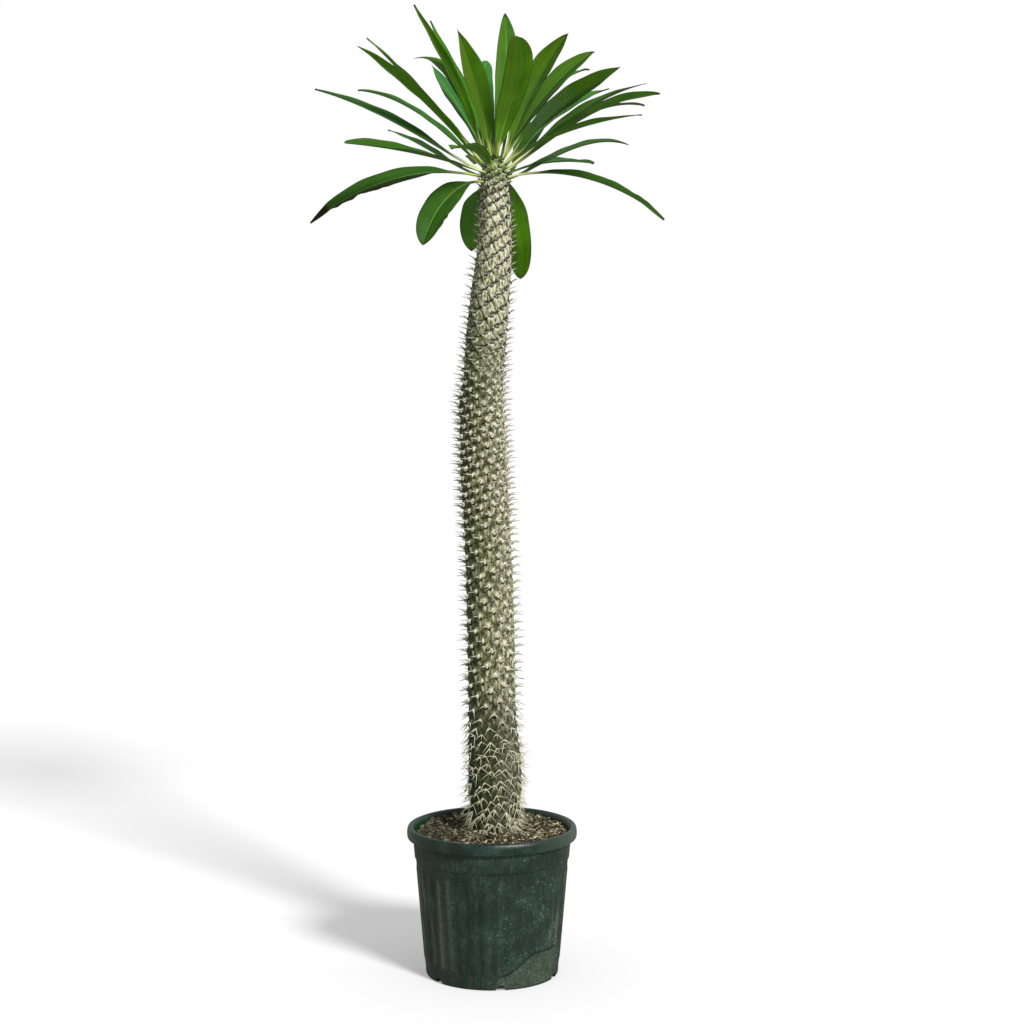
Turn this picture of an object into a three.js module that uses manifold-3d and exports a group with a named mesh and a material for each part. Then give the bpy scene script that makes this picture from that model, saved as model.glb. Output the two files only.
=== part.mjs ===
// Madagascar palm (Pachypodium lamerei) growing in a plastic nursery pot.
// Millimetres, +Z up, +X to the right and -Y to the front. The origin is on the ground, under the
// middle of the pot. Pot, soil, trunk and every leaf are meshes of their own.
import * as THREE from 'three';
import { mergeVertices } from 'three/addons/utils/BufferGeometryUtils.js';
import Module from 'manifold-3d';

const wasm = await Module();
wasm.setup();

const { degToRad, lerp, clamp, smoothstep } = THREE.MathUtils;
const up = new THREE.Vector3(0, 0, 1);

// ---- Pot: radius and height of the profile, from the middle of the underside out, up and back in ----
const potColumns = 72;
const fluteDepth = 0.9; // every second column stands out and the one between lies in by this much
const potOutside = [
  { r: 112, z: 0 },
  { r: 117, z: 3 },
  { r: 118, z: 16 },
  { r: 119.2, z: 26, flute: 1 },
  { r: 133.6, z: 198, flute: 1 },
  { r: 134.6, z: 208 },
  { r: 136.6, z: 210 },
  { r: 139.5, z: 243 },
  { r: 147.5, z: 244.5 },
  { r: 150, z: 250 },
  { r: 149.2, z: 261 },
  { r: 146, z: 265 },
];
const potInside = [
  { r: 140, z: 264.5 },
  { r: 137.4, z: 260 },
  { r: 135.5, z: 240 },
  { r: 114.5, z: 3 },
];
const drainCount = 6;
const drainFirst = -142; // degrees, the notch left of the front
const drainWidth = 18;
const drainHeight = 9;

// ---- Soil ----
const soilColumns = 36;
const soilGap = 0.3;
const soilRings = [54, 70, 87, 104, 120]; // radii of the rings of crumbs on top
const soilHeight = 249;
const soilMound = 7; // rise towards the trunk
const crumbHeight = 2.4;
const chipCount = 18;

// ---- Trunk: height, sideways place of the middle in x and y, radius over the tubercles ----
const trunkStations = [
  [180, 5, 0, 38],
  [262, 5, 0, 40],
  [300, 5, 0, 44],
  [330, 5, 1, 48],
  [385, 5, 2, 47],
  [450, 1, 3, 43.5],
  [580, -1, 4, 43],
  [700, -4, 4, 42.5],
  [810, -9, 3, 41.5],
  [880, -13, 1, 42],
  [950, -15, -1, 41],
  [1010, -18, -3, 39.5],
  [1045, -15, -4, 36.5],
  [1100, -11, -5, 35.5],
  [1190, -3, -5, 34],
  [1290, 6, -3, 29],
  [1345, 6, -1, 27],
  [1392, 5, 0, 23.5],
];
const footBottom = 188;
const footRadius = 38;
const trunkStart = 262;
const crownStart = 1392; // above this the trunk closes in a dome
const crownRadius = 23.5;
const crownHeight = 46;
const crownEnd = degToRad(72);
// Tubercles follow one another round the trunk by the golden angle. Eight and five rows climb it.
const turn = -degToRad(137.508);
const [rowA, rowB] = [5, 8];
const topBand = rowA + rowB;
// Rise from one tubercle to the next in trunk radii, at heights: it changed with each season's growth.
const climbs = [
  [262, 0.04],
  [440, 0.04],
  [500, 0.048],
  [760, 0.048],
  [830, 0.032],
  [980, 0.032],
  [1080, 0.043],
  [1180, 0.074],
  [1340, 0.074],
  [1370, 0.051],
];
const grooveDepth = 0.085; // in trunk radii
const areoleWidth = 3.2;
const areoleHeight = 2.7;
const spineLength = 17;
const spineSpread = 34; // degrees to each side
const topmostSpine = 1384;
const lowestCushion = 1384;
const cushionRise = 2.2; // a leaf cushion stands out over the tubercles by this much

// ---- Leaves ----
const crownMiddle = new THREE.Vector3(5, 0, 1405);
const petioleHalf = 2.7;
const petioleThick = 4.4;
const bladeThick = 0.9;
const ribThick = 2.2;
const bladeFold = 0.28; // rise of the blade's edge over its rib, in half widths
const edgeWave = 1.6;
const rootGap = 0.3;
const leafSteps = [0, 0.07, 0.16, 0.27, 0.39, 0.51, 0.63, 0.75, 0.86, 0.94];
// Tip from the middle of the crown, elevation at the root and at the tip, width, roll about the rib
// and a sideways sway of the middle.
const leaves = [
  { tip: [-315, -20, -85], lift: 14, end: -40, width: 44, roll: -40, full: 1 },
  { tip: [-245, -170, 42], lift: 15, end: 2, width: 44, roll: -18, full: 1 },
  { tip: [-310, 30, 145], lift: 29, end: 15, width: 40, roll: -15, full: 0.8 },
  { tip: [-245, 170, 155], lift: 38, end: 6, width: 29, roll: 0, full: 0.8 },
  { tip: [-195, 240, 90], lift: 12, end: 14, width: 22, roll: 4, full: 0.8 },
  { tip: [-230, -60, 210], lift: 46, end: 33, width: 44, roll: 10, full: 1 },
  { tip: [-220, 45, 235], lift: 44, end: 44, width: 42, roll: 8, full: 1 },
  { tip: [-135, -50, 280], lift: 68, end: 58, width: 29, roll: 18, full: 1 },
  { tip: [-115, 150, 275], lift: 60, end: 56, width: 36, roll: 10, full: 0.6 },
  { tip: [-145, 210, 215], lift: 62, end: -4, width: 28, roll: 0 },
  { tip: [-115, 235, 205], lift: 44, end: 34, width: 42, roll: 8, full: 0.8 },
  { tip: [-60, -150, 229], lift: 70, end: 46, width: 40, roll: 4, sway: 4, full: 1.2 },
  { tip: [-14, 255, 215], lift: 50, end: 26, width: 30, roll: 24, sway: 12, full: 0.6 },
  { tip: [18, 120, 285], lift: 72, end: 62, width: 40, roll: 28, sway: -8, full: 0.8 },
  { tip: [40, -178, 214], lift: 62, end: 44, width: 47, roll: 0, sway: 16, full: 1.2 },
  { tip: [125, -75, 230], lift: 62, end: 43, width: 52, roll: -10, full: 1.1 },
  { tip: [175, 90, 215], lift: 56, end: 28, width: 48, roll: 18, full: 1 },
  { tip: [170, 200, 195], lift: 48, end: 8, width: 44, roll: 0, full: 0.8 },
  { tip: [210, -120, 170], lift: 46, end: 24, width: 54, roll: -12, full: 1 },
  { tip: [205, 200, 160], lift: 40, end: 14, width: 44, roll: 0, full: 0.6 },
  { tip: [265, 80, 160], lift: 38, end: 14, width: 40, roll: 6, full: 0.8 },
  { tip: [280, -60, 130], lift: 32, end: 0, width: 46, roll: 24, full: 1 },
  { tip: [265, 130, 125], lift: 34, end: -8, width: 32, roll: 4, full: 0.6 },
  { tip: [245, -150, 90], lift: 31, end: 4, width: 34, roll: 4, full: 0.8 },
  { tip: [240, 190, 60], lift: 19, end: -12, width: 32, roll: 6, full: 0.8 },
  { tip: [180, 250, 30], lift: 18, end: -3, width: 28, roll: 8 },
  { tip: [290, -40, -80], lift: 15, end: -42, width: 36, roll: 18, full: 1 },
  { tip: [-117, -172, -125], lift: 3, end: -66, width: 50, roll: -24, full: 0.6 },
  { tip: [-42, 170, -130], lift: 6, end: -72, width: 56, roll: 0 },
  { tip: [45, 160, -180], lift: 12, end: -76, width: 52, roll: 0 },
  { tip: [-68, -250, 28], lift: 22, end: -8, width: 44, roll: 0, full: 0.8 },
  { tip: [-20, 300, 80], lift: 24, end: -4, width: 42, roll: 0 },
  { tip: [-40, 280, 30], lift: 22, end: -6, width: 46, roll: 0 },
  { tip: [95, 260, 105], lift: 28, end: 2, width: 44, roll: 0 },
  { tip: [-28, 12, 130], lift: 80, end: 78, width: 24, roll: 0 },
  { tip: [48, 30, 170], lift: 76, end: 70, width: 30, roll: 0 },
];

// A seeded draw of even numbers from 0 to 1.
function seededRandom(seed) {
  return () => {
    seed = (seed + 0x6d2b79f5) | 0;
    let t = Math.imul(seed ^ (seed >>> 15), 1 | seed);
    t = (t + Math.imul(t ^ (t >>> 7), 61 | t)) ^ t;
    return ((t ^ (t >>> 14)) >>> 0) / 4294967296;
  };
}

// A closed mesh from corner points and triangles.
function solid(points, triangles) {
  const geometry = new THREE.BufferGeometry();
  geometry.setAttribute('position', new THREE.Float32BufferAttribute(points.flatMap((p) => [p.x, p.y, p.z]), 3));
  geometry.setIndex(triangles.flat());
  return geometry;
}

function toManifold(geometry) {
  const bare = geometry.clone();
  bare.deleteAttribute('normal');
  bare.deleteAttribute('uv');
  const merged = mergeVertices(bare, 1e-4);
  return new wasm.Manifold(new wasm.Mesh({
    numProp: 3,
    vertProperties: Float32Array.from(merged.attributes.position.array),
    triVerts: Uint32Array.from(merged.index.array),
  }));
}

function fromManifold(manifold) {
  const mesh = manifold.getMesh();
  const geometry = new THREE.BufferGeometry();
  geometry.setAttribute('position', new THREE.BufferAttribute(Float32Array.from(mesh.vertProperties), 3));
  geometry.setIndex(new THREE.BufferAttribute(Uint32Array.from(mesh.triVerts), 1));
  return geometry;
}

function onCircle(radius, angle, z) {
  return new THREE.Vector3(radius * Math.cos(angle), radius * Math.sin(angle), z);
}

// Joins rings of equal length, each a closed loop that runs the same way round, and closes both ends.
function skinRings(rings, firstEnd, lastEnd) {
  const columns = rings[0].length;
  const points = [firstEnd, ...rings.flat(), lastEnd];
  const at = (ring, column) => 1 + ring * columns + (column % columns);
  const triangles = [];
  for (let c = 0; c < columns; c++) {
    triangles.push([0, at(0, c + 1), at(0, c)]);
    for (let r = 0; r + 1 < rings.length; r++) {
      triangles.push([at(r, c), at(r, c + 1), at(r + 1, c + 1)], [at(r, c), at(r + 1, c + 1), at(r + 1, c)]);
    }
    triangles.push([at(rings.length - 1, c), at(rings.length - 1, c + 1), points.length - 1]);
  }
  return solid(points, triangles);
}

// ---- Pot ----
function makePot() {
  const rings = [...potOutside, ...potInside].map(({ r, z, flute = 0 }) =>
    Array.from({ length: potColumns }, (_, c) =>
      onCircle(r + flute * fluteDepth * (c % 2 ? 1 : -1), (c / potColumns) * 2 * Math.PI, z)));
  const floorTop = potInside.at(-1).z;
  let pot = toManifold(skinRings(rings, new THREE.Vector3(0, 0, 0), new THREE.Vector3(0, 0, floorTop)));
  // Arched notches let water out where the floor meets the wall.
  const arch = new THREE.Shape();
  const half = drainWidth / 2;
  arch.moveTo(-half, -5);
  arch.lineTo(half, -5);
  arch.lineTo(half, drainHeight * 0.4);
  arch.lineTo(half * 0.6, drainHeight);
  arch.lineTo(-half * 0.6, drainHeight);
  arch.lineTo(-half, drainHeight * 0.4);
  arch.closePath();
  for (let i = 0; i < drainCount; i++) {
    const cutter = new THREE.ExtrudeGeometry(arch, { depth: 30, bevelEnabled: false });
    cutter.rotateX(Math.PI / 2).rotateZ(Math.PI / 2).translate(103, 0, 0);
    cutter.rotateZ(degToRad(drainFirst + (360 / drainCount) * i));
    pot = pot.subtract(toManifold(cutter));
  }
  return fromManifold(pot);
}

// ---- Soil ----
function potInnerRadius(z) {
  const [lip, foot] = potInside.slice(-2);
  return lerp(foot.r, lip.r, (z - foot.z) / (lip.z - foot.z));
}

function soilTop(radius) {
  return soilHeight + soilMound * (1 - smoothstep(radius, 40, 90));
}

function makeSoil() {
  const random = seededRandom(11);
  const ring = (radius, z, spread = 0) =>
    Array.from({ length: soilColumns }, (_, c) =>
      onCircle(radius, (c / soilColumns) * 2 * Math.PI, z + spread * (random() * 2 - 1)));
  const hole = footRadius + 2 * soilGap;
  const wall = (z) => potInnerRadius(z) - soilGap;
  const floor = potInside.at(-1).z + soilGap;
  const rings = [
    ring(wall(floor), floor),
    ring(wall(239), 239),
    ring(135, soilHeight - 3, 1),
    ...soilRings.toReversed().map((radius) => ring(radius, soilTop(radius), crumbHeight)),
    ring(hole + 1, soilTop(hole)),
    ring(hole, soilTop(hole) - 4),
    ring(hole, footBottom - soilGap),
  ];
  const middle = trunkStations[0];
  rings.slice(-3).flat().forEach((p) => p.add(new THREE.Vector3(middle[1], middle[2], 0)));
  let soil = toManifold(skinRings(rings, new THREE.Vector3(0, 0, floor),
    new THREE.Vector3(middle[1], middle[2], footBottom - soilGap)));
  for (let i = 0; i < chipCount; i++) {
    const angle = i * turn;
    const radius = 56 + 66 * Math.sqrt((i + 0.5) / chipCount);
    const chip = new THREE.BoxGeometry(lerp(10, 17, random()), lerp(5, 9, random()), 4);
    chip.rotateX(degToRad(lerp(-14, 14, random()))).rotateY(degToRad(lerp(-14, 14, random())));
    chip.rotateZ(random() * Math.PI);
    chip.translate(...onCircle(radius, angle, soilTop(radius) + 1.5).toArray());
    soil = soil.add(toManifold(chip));
  }
  return fromManifold(soil);
}

// ---- Trunk ----
// The middle and radius of the trunk at a height, on a smooth curve through the stations.
function trunkAt(height) {
  const last = trunkStations.length - 1;
  const z = clamp(height, trunkStations[0][0], trunkStations[last][0]);
  let i = 0;
  while (i < last - 1 && z > trunkStations[i + 1][0]) i++;
  const row = (k) => trunkStations[clamp(k, 0, last)];
  const span = row(i + 1)[0] - row(i)[0];
  const t = (z - row(i)[0]) / span;
  const value = (k) => {
    const slope = (j) => ((row(j + 1)[k] - row(j - 1)[k]) / (row(j + 1)[0] - row(j - 1)[0])) * span;
    const [a, b] = [row(i)[k], row(i + 1)[k]];
    const [m, n] = [slope(i), slope(i + 1)];
    return a + t * (m + t * (3 * (b - a) - 2 * m - n + t * (2 * (a - b) + m + n)));
  };
  return { x: value(1), y: value(2), radius: value(3) };
}

function climbAt(z) {
  const next = climbs.findIndex(([height]) => height > z);
  if (next < 0) return climbs.at(-1)[1];
  const [[low, below], [high, above]] = [climbs[next - 1], climbs[next]];
  return lerp(below, above, (z - low) / (high - low));
}

// The levels of the lattice, one for each step of the spiral, from the soil up over the dome.
function makeLevels() {
  const levels = [];
  for (let z = trunkStart; z < crownStart;) {
    const { x, y, radius } = trunkAt(z);
    levels.push({ z, x, y, radius, tilt: 0, dome: 0 });
    z += radius * climbAt(z);
  }
  const { x, y } = trunkAt(crownStart);
  for (let dome = 0.01; dome < crownEnd;) {
    const [c, s] = [Math.cos(dome), Math.sin(dome)];
    const radius = crownRadius * c;
    const tilt = Math.atan2(s / crownHeight, c / crownRadius);
    levels.push({ z: crownStart + crownHeight * s, x, y, radius, tilt, dome });
    dome += (climbAt(crownStart) * radius) / Math.hypot(crownRadius * s, crownHeight * c);
  }
  return levels;
}

const levels = makeLevels();

// A point of the lattice. The index may lie between two whole steps, and depth is cut from the surface.
function latticePoint(index, depth = 0) {
  const low = clamp(Math.floor(index), 0, levels.length - 2);
  const part = index - low;
  const mix = (key) => lerp(levels[low][key], levels[low + 1][key], part);
  const [z, x, y, radius, tilt] = ['z', 'x', 'y', 'radius', 'tilt'].map(mix);
  const angle = index * turn;
  const normal = onCircle(Math.cos(tilt), angle, Math.sin(tilt));
  const point = onCircle(radius, angle, z).add(new THREE.Vector3(x, y, 0)).addScaledVector(normal, -depth * radius);
  return { point, normal, radius, angle, z, dome: mix('dome') };
}

// The middle of a cell, half way between its lowest and its highest corner.
function cellMiddle(cell) {
  const middle = latticePoint(cell + topBand / 2);
  // Half of a whole number of turns is left over, so the angle is taken from the lowest corner.
  const spread = ((topBand * turn) / 2 + 14 * Math.PI) % Math.PI;
  const offset = spread > Math.PI / 2 ? spread - Math.PI : spread;
  middle.angle = cell * turn + offset;
  const tilt = Math.asin(middle.normal.z);
  middle.normal = onCircle(Math.cos(tilt), middle.angle, Math.sin(tilt));
  const low = latticePoint(cell + topBand / 2);
  const centre = new THREE.Vector3(low.point.x, low.point.y, 0).sub(onCircle(low.radius, low.angle, 0));
  middle.point = onCircle(middle.radius, middle.angle, middle.z).add(centre);
  return middle;
}

const cells = Array.from({ length: levels.length - topBand }, (_, cell) => cellMiddle(cell));

// Each leaf takes the free cushion that lies nearest to its own direction.
function seatLeaves() {
  const taken = new Set();
  return leaves.map(({ tip, lift }) => {
    const azimuth = Math.atan2(tip[1], tip[0]);
    const wanted = degToRad(clamp(lift, 0, 80) * 0.85);
    let best;
    let least = Infinity;
    cells.forEach(({ angle, z, dome }, cell) => {
      if (z < lowestCushion || taken.has(cell)) return;
      const apart = Math.atan2(Math.sin(angle - azimuth), Math.cos(angle - azimuth));
      const cost = (apart / degToRad(25)) ** 2 + ((dome - wanted) / degToRad(12)) ** 2;
      if (cost < least) [least, best] = [cost, cell];
    });
    taken.add(best);
    const end = crownMiddle.clone().add(new THREE.Vector3(...tip));
    const reach = end.clone().sub(cells[best].point);
    const heading = Math.atan2(reach.y, reach.x);
    const raised = cells[best].point.clone().addScaledVector(cells[best].normal, cushionRise);
    return { cell: best, point: raised, heading, end, normal: pointing(heading, lift) };
  });
}

function pointing(heading, elevation) {
  return onCircle(Math.cos(degToRad(elevation)), heading, Math.sin(degToRad(elevation)));
}

const seats = seatLeaves();

function makeTrunk() {
  const random = seededRandom(5);
  const points = levels.map((_, index) => latticePoint(index, grooveDepth).point);
  const triangles = [];
  const seatOf = new Map(seats.map((seat) => [seat.cell, seat]));
  cells.forEach(({ point, normal, radius, z }, cell) => {
    const seat = seatOf.get(cell);
    const out = seat ? seat.normal : normal;
    const side = new THREE.Vector3().crossVectors(up, out).normalize();
    const rise = new THREE.Vector3().crossVectors(out, side);
    const size = Math.min(1, radius / 20);
    const middle = seat ? seat.point : point;
    const corner = (a, b) =>
      points.push(middle.clone().addScaledVector(side, a * areoleWidth * size).addScaledVector(rise, b * areoleHeight * size)) - 1;
    const pad = [corner(0, -1), corner(1, 0), corner(0, 1), corner(-1, 0)];
    const rim = [cell, cell + rowA, cell + topBand, cell + rowB];
    for (let i = 0; i < 4; i++) {
      const j = (i + 1) % 4;
      triangles.push([rim[i], rim[j], pad[j]], [rim[i], pad[j], pad[i]]);
    }
    const halves = [[pad[0], pad[1], pad[2], 1], [pad[2], pad[3], pad[0], -1]];
    for (const [a, b, c, hand] of halves) {
      if (seat || z > topmostSpine) {
        triangles.push([a, b, c]);
        continue;
      }
      // A three-sided spine stands on each half of the pad. The oldest ones hang and spread wider.
      const old = 1 - smoothstep(z, 400, 480);
      const spread = degToRad(spineSpread + 12 * old + 9 * (random() - 0.5));
      const length = spineLength * lerp(0.85, 1.1, random()) * lerp(0.62, 1, smoothstep(radius, 24, 38));
      const way = out.clone().multiplyScalar(Math.cos(spread)).addScaledVector(side, hand * Math.sin(spread));
      way.addScaledVector(rise, lerp(-0.05, 0.35, random()) - 0.65 * old).normalize();
      const root = points[a].clone().add(points[b]).add(points[c]).divideScalar(3);
      const tip = points.push(root.addScaledVector(way, length)) - 1;
      triangles.push([a, b, tip], [b, c, tip], [c, a, tip]);
    }
  });
  // The ends of the lattice are closed round its two zigzag edges, by the foot below and the apex above.
  const zigzag = [0];
  while (zigzag.length < topBand) {
    const at = zigzag.at(-1);
    zigzag.push(at < rowB ? at + rowA : at - rowB);
  }
  const foot = trunkStations[0];
  const footPoint = (index, z) => points.push(
    onCircle(footRadius, index * turn, z).add(new THREE.Vector3(foot[1], foot[2], 0))) - 1;
  const collar = zigzag.map((index) => footPoint(index, trunkStart - 10));
  const sole = zigzag.map((index) => footPoint(index, footBottom));
  const soleMiddle = points.push(new THREE.Vector3(foot[1], foot[2], footBottom)) - 1;
  const lastLevel = levels.at(-1);
  const apex = points.push(new THREE.Vector3(lastLevel.x, lastLevel.y, lastLevel.z + 1.5)) - 1;
  const firstTop = levels.length - topBand;
  for (let i = 0; i < topBand; i++) {
    const j = (i + 1) % topBand;
    const [low, next] = [zigzag[i], zigzag[j]];
    triangles.push([collar[i], collar[j], next], [collar[i], next, low]);
    triangles.push([sole[i], sole[j], collar[j]], [sole[i], collar[j], collar[i]]);
    triangles.push([soleMiddle, sole[j], sole[i]]);
    triangles.push([firstTop + low, firstTop + next, apex]);
  }
  return solid(points, triangles);
}

// ---- Leaf ----
// Half the width along a leaf: a slim petiole, then a blade that is widest past its middle. The upright
// leaves are broad from low down.
function halfWidth(t, width, full) {
  const early = 1 - (1 - clamp((t - 0.08) / 0.6, 0, 1)) ** 2;
  const opening = lerp(smoothstep(t, 0.13, 0.6), early, full);
  const closing = t < 0.6 ? 1 : 1 - ((t - 0.6) / 0.42) ** 1.9;
  return lerp(petioleHalf, width / 2, opening) * closing;
}

function makeLeaf(leaf, seat, number) {
  const root = seat.point.clone().addScaledVector(seat.normal, rootGap);
  const length = root.distanceTo(seat.end);
  const level = onCircle(1, seat.heading + Math.PI / 2, 0);
  const sway = leaf.sway ?? 0;
  const path = new THREE.CubicBezierCurve3(
    root,
    root.clone().addScaledVector(seat.normal, length * 0.33),
    seat.end.clone().addScaledVector(pointing(seat.heading, leaf.end), -length * 0.35).addScaledVector(level, sway * 2),
    seat.end,
  );
  const rings = leafSteps.map((t) => {
    const along = path.getTangent(t);
    const above = new THREE.Vector3().crossVectors(along, level).normalize();
    const roll = degToRad(leaf.roll) * smoothstep(t, 0, 0.5);
    const side = level.clone().multiplyScalar(Math.cos(roll)).addScaledVector(above, Math.sin(roll));
    above.multiplyScalar(Math.cos(roll)).addScaledVector(level, -Math.sin(roll));
    const half = halfWidth(t, leaf.width, leaf.full ?? 0);
    const blade = smoothstep(t, 0.12, 0.3);
    const thickEdge = lerp(petioleThick * 0.5, bladeThick, blade);
    const thickRib = lerp(petioleThick, lerp(ribThick, bladeThick * 1.3, t), blade);
    const wave = (hand) => blade * edgeWave * Math.sin(9 * t + number * 2.3 + hand);
    const edge = (hand) => bladeFold * half * blade + wave(hand);
    const place = (a, b) => path.getPoint(t).addScaledVector(side, a).addScaledVector(above, b);
    return [
      place(half, edge(1) + thickEdge / 2),
      place(0, thickEdge / 2 * (1 - blade) + blade * bladeThick / 2 + (1 - blade) * 0.8),
      place(-half, edge(-1) + thickEdge / 2),
      place(-half, edge(-1) - thickEdge / 2),
      place(0, blade * bladeThick / 2 + (1 - blade) * (thickEdge / 2 + 0.8) - thickRib),
      place(half, edge(1) - thickEdge / 2),
    ];
  });
  return leafSkin(rings, root, seat.end);
}

// Skins the six-cornered sections of a leaf. Its upper and lower face are split along like diagonals.
function leafSkin(rings, root, tip) {
  const points = [root, ...rings.flat(), tip];
  const at = (ring, corner) => 1 + ring * 6 + (corner % 6);
  const triangles = [];
  for (let k = 0; k < 6; k++) {
    triangles.push([0, at(0, k + 1), at(0, k)]);
    triangles.push([at(rings.length - 1, k), at(rings.length - 1, k + 1), points.length - 1]);
    for (let r = 0; r + 1 < rings.length; r++) {
      const [a, b, c, d] = [at(r, k), at(r, k + 1), at(r + 1, k + 1), at(r + 1, k)];
      // Corners 0-1 lie over 4-5 and 1-2 over 3-4.
      if (k === 0 || k === 3) triangles.push([a, b, c], [a, c, d]);
      else triangles.push([a, b, d], [b, c, d]);
    }
  }
  return solid(points, triangles);
}

// ---- Assembly ----
const materials = {
  pot: new THREE.MeshStandardMaterial({ color: 0x263f31, roughness: 0.5, metalness: 0 }),
  soil: new THREE.MeshStandardMaterial({ color: 0x5a4632, roughness: 0.95, metalness: 0 }),
  trunk: new THREE.MeshStandardMaterial({ color: 0xa09a78, roughness: 0.8, metalness: 0 }),
  leaf: new THREE.MeshStandardMaterial({ color: 0x3f6b1b, roughness: 0.42, metalness: 0 }),
};

const group = new THREE.Group();

function place(name, geometry, material) {
  const mesh = new THREE.Mesh(geometry, material);
  mesh.name = name;
  group.add(mesh);
}

place('pot', makePot(), materials.pot);
place('soil', makeSoil(), materials.soil);
place('trunk', makeTrunk(), materials.trunk);
leaves.forEach((leaf, i) => {
  place(`leaf_${String(i + 1).padStart(2, '0')}`, makeLeaf(leaf, seats[i], i), materials.leaf);
});

export default group;
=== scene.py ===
import math
import random

import bpy
import numpy as np
from mathutils import Euler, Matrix, Vector, kdtree, noise


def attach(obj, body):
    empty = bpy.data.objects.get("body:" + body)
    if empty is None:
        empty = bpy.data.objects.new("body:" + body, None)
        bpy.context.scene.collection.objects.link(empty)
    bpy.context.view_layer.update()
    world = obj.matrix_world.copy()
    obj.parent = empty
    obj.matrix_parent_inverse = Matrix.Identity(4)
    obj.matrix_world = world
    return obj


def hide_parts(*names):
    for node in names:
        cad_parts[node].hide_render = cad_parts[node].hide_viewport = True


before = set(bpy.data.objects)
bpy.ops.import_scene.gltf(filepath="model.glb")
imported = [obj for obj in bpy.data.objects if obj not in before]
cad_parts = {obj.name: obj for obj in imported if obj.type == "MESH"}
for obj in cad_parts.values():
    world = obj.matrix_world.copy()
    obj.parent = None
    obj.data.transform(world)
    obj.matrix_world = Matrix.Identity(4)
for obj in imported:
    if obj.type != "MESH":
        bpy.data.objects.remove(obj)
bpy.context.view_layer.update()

mm = 0.001


def toLinear(hexColour):
    parts = [int(hexColour[i:i + 2], 16) / 255 for i in (1, 3, 5)]
    return tuple(c / 12.92 if c <= 0.04045 else ((c + 0.055) / 1.055) ** 2.4 for c in parts) + (1.0,)


rangeInputs = ("Value", "From Min", "From Max", "To Min", "To Max")
nodeKinds = {
    # kind of node: its type, its settings, its inputs in the order they are given, its output
    "uv": ("TexCoord", {}, (), "UV"),
    "object": ("TexCoord", {}, (), "Object"),
    "attribute": ("Attribute", {}, ("attribute_name",), "Fac"),
    "seen": ("LightPath", {}, (), "Is Camera Ray"),
    "split": ("SeparateXYZ", {}, (0,), slice(3)),
    "shift": ("VectorMath", {"operation": "ADD"}, (0, 1), 0),
    "stretch": ("Mapping", {}, ("Vector", "Scale"), 0),
    "noise": ("TexNoise", {}, ("Vector", "Scale", "Detail", "Roughness", "Distortion"), 0),
    "ramp": ("ValToRGB", {}, (0,), 0),
    "blend": ("Mix", {"data_type": "RGBA"}, (0, 6, 7), 2),
    "blendNumber": ("Mix", {"data_type": "FLOAT"}, (0, 2, 3), 0),
    "range": ("MapRange", {}, rangeInputs, 0),
    "fade": ("MapRange", {"interpolation_type": "SMOOTHSTEP"}, rangeInputs, 0),
    "tint": ("HueSaturation", {}, ("Color", "Saturation", "Value"), 0),
    "bump": ("Bump", {}, ("Height", "Strength", "Distance"), 0),
}


def feed(made, values):
    # each value is a setting of the node, or goes to an input as a socket, number, vector or hex colour
    for key, value in values.items():
        if hasattr(made, str(key)):
            setattr(made, key, value)
        elif isinstance(value, bpy.types.NodeSocket):
            tree.links.new(value, made.inputs[key])
        else:
            made.inputs[key].default_value = toLinear(value) if isinstance(value, str) else value


def node(kind, *inputs):
    # adds one node to the tree in hand: a kind outside the table is a Math operation, more than two
    # factors are multiplied in turn, and a ramp's stops follow its factor
    if kind == "MULTIPLY" and len(inputs) > 2:
        inputs = (node(kind, *inputs[:-1]), inputs[-1])
    typeName, settings, names, output = nodeKinds.get(kind, ("Math", {"operation": kind}, (0, 1, 2), 0))
    made = tree.nodes.new("ShaderNode" + typeName)
    feed(made, {**settings, **dict(zip(names, inputs))})
    stops = inputs[len(names):]
    for _ in stops[2:]:
        made.color_ramp.elements.new(0.5)
    for element, (place, colour) in zip(made.color_ramp.elements if stops else (), stops):
        element.position, element.color = place, toLinear(colour)
    return made.outputs[output]


def layered(colour, *layers):
    # lays colours over one another, each through its mask
    for mask, over in layers:
        colour = node("blend", mask, colour, over)
    return colour


def newMaterial(name, **values):
    material = bpy.data.materials.new(name)
    material.use_nodes = True
    shader = material.node_tree.nodes["Principled BSDF"]
    feed(shader, values)
    return material, material.node_tree, shader


def lerp(a, b, t):
    return a + (b - a) * t


def smoothstep(x, low, high):
    t = np.clip((x - low) / (high - low), 0, 1)
    return t * t * (3 - 2 * t)


def around(x, y, z, radius, angle):
    # points round a middle
    return np.stack([x + radius * np.cos(angle), y + radius * np.sin(angle), z], -1)


def deselectAll():
    if bpy.context.object and bpy.context.object.mode != "OBJECT":
        bpy.ops.object.mode_set(mode="OBJECT")
    bpy.ops.object.select_all(action="DESELECT")


def coordsOf(obj):
    co = np.empty(len(obj.data.vertices) * 3)
    obj.data.vertices.foreach_get("co", co)
    return co.reshape(-1, 3)


def setCoords(mesh, co):
    mesh.vertices.foreach_set("co", np.asarray(co, np.float32).ravel())
    mesh.update()


def addAttributes(mesh, **shares):
    # an attribute has a value for every point, or one for them all
    for name, values in shares.items():
        attribute = mesh.attributes.new(name, "FLOAT", "POINT")
        spread = np.broadcast_to(np.ravel(values), len(mesh.vertices))
        attribute.data.foreach_set("value", spread.astype(np.float32))


def applyModifier(obj, kind, **settings):
    bpy.context.view_layer.objects.active = obj
    modifier = obj.modifiers.new(kind.title(), kind)
    for key, value in settings.items():
        setattr(modifier, key, value)
    bpy.ops.object.modifier_apply(modifier=modifier.name)


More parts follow.
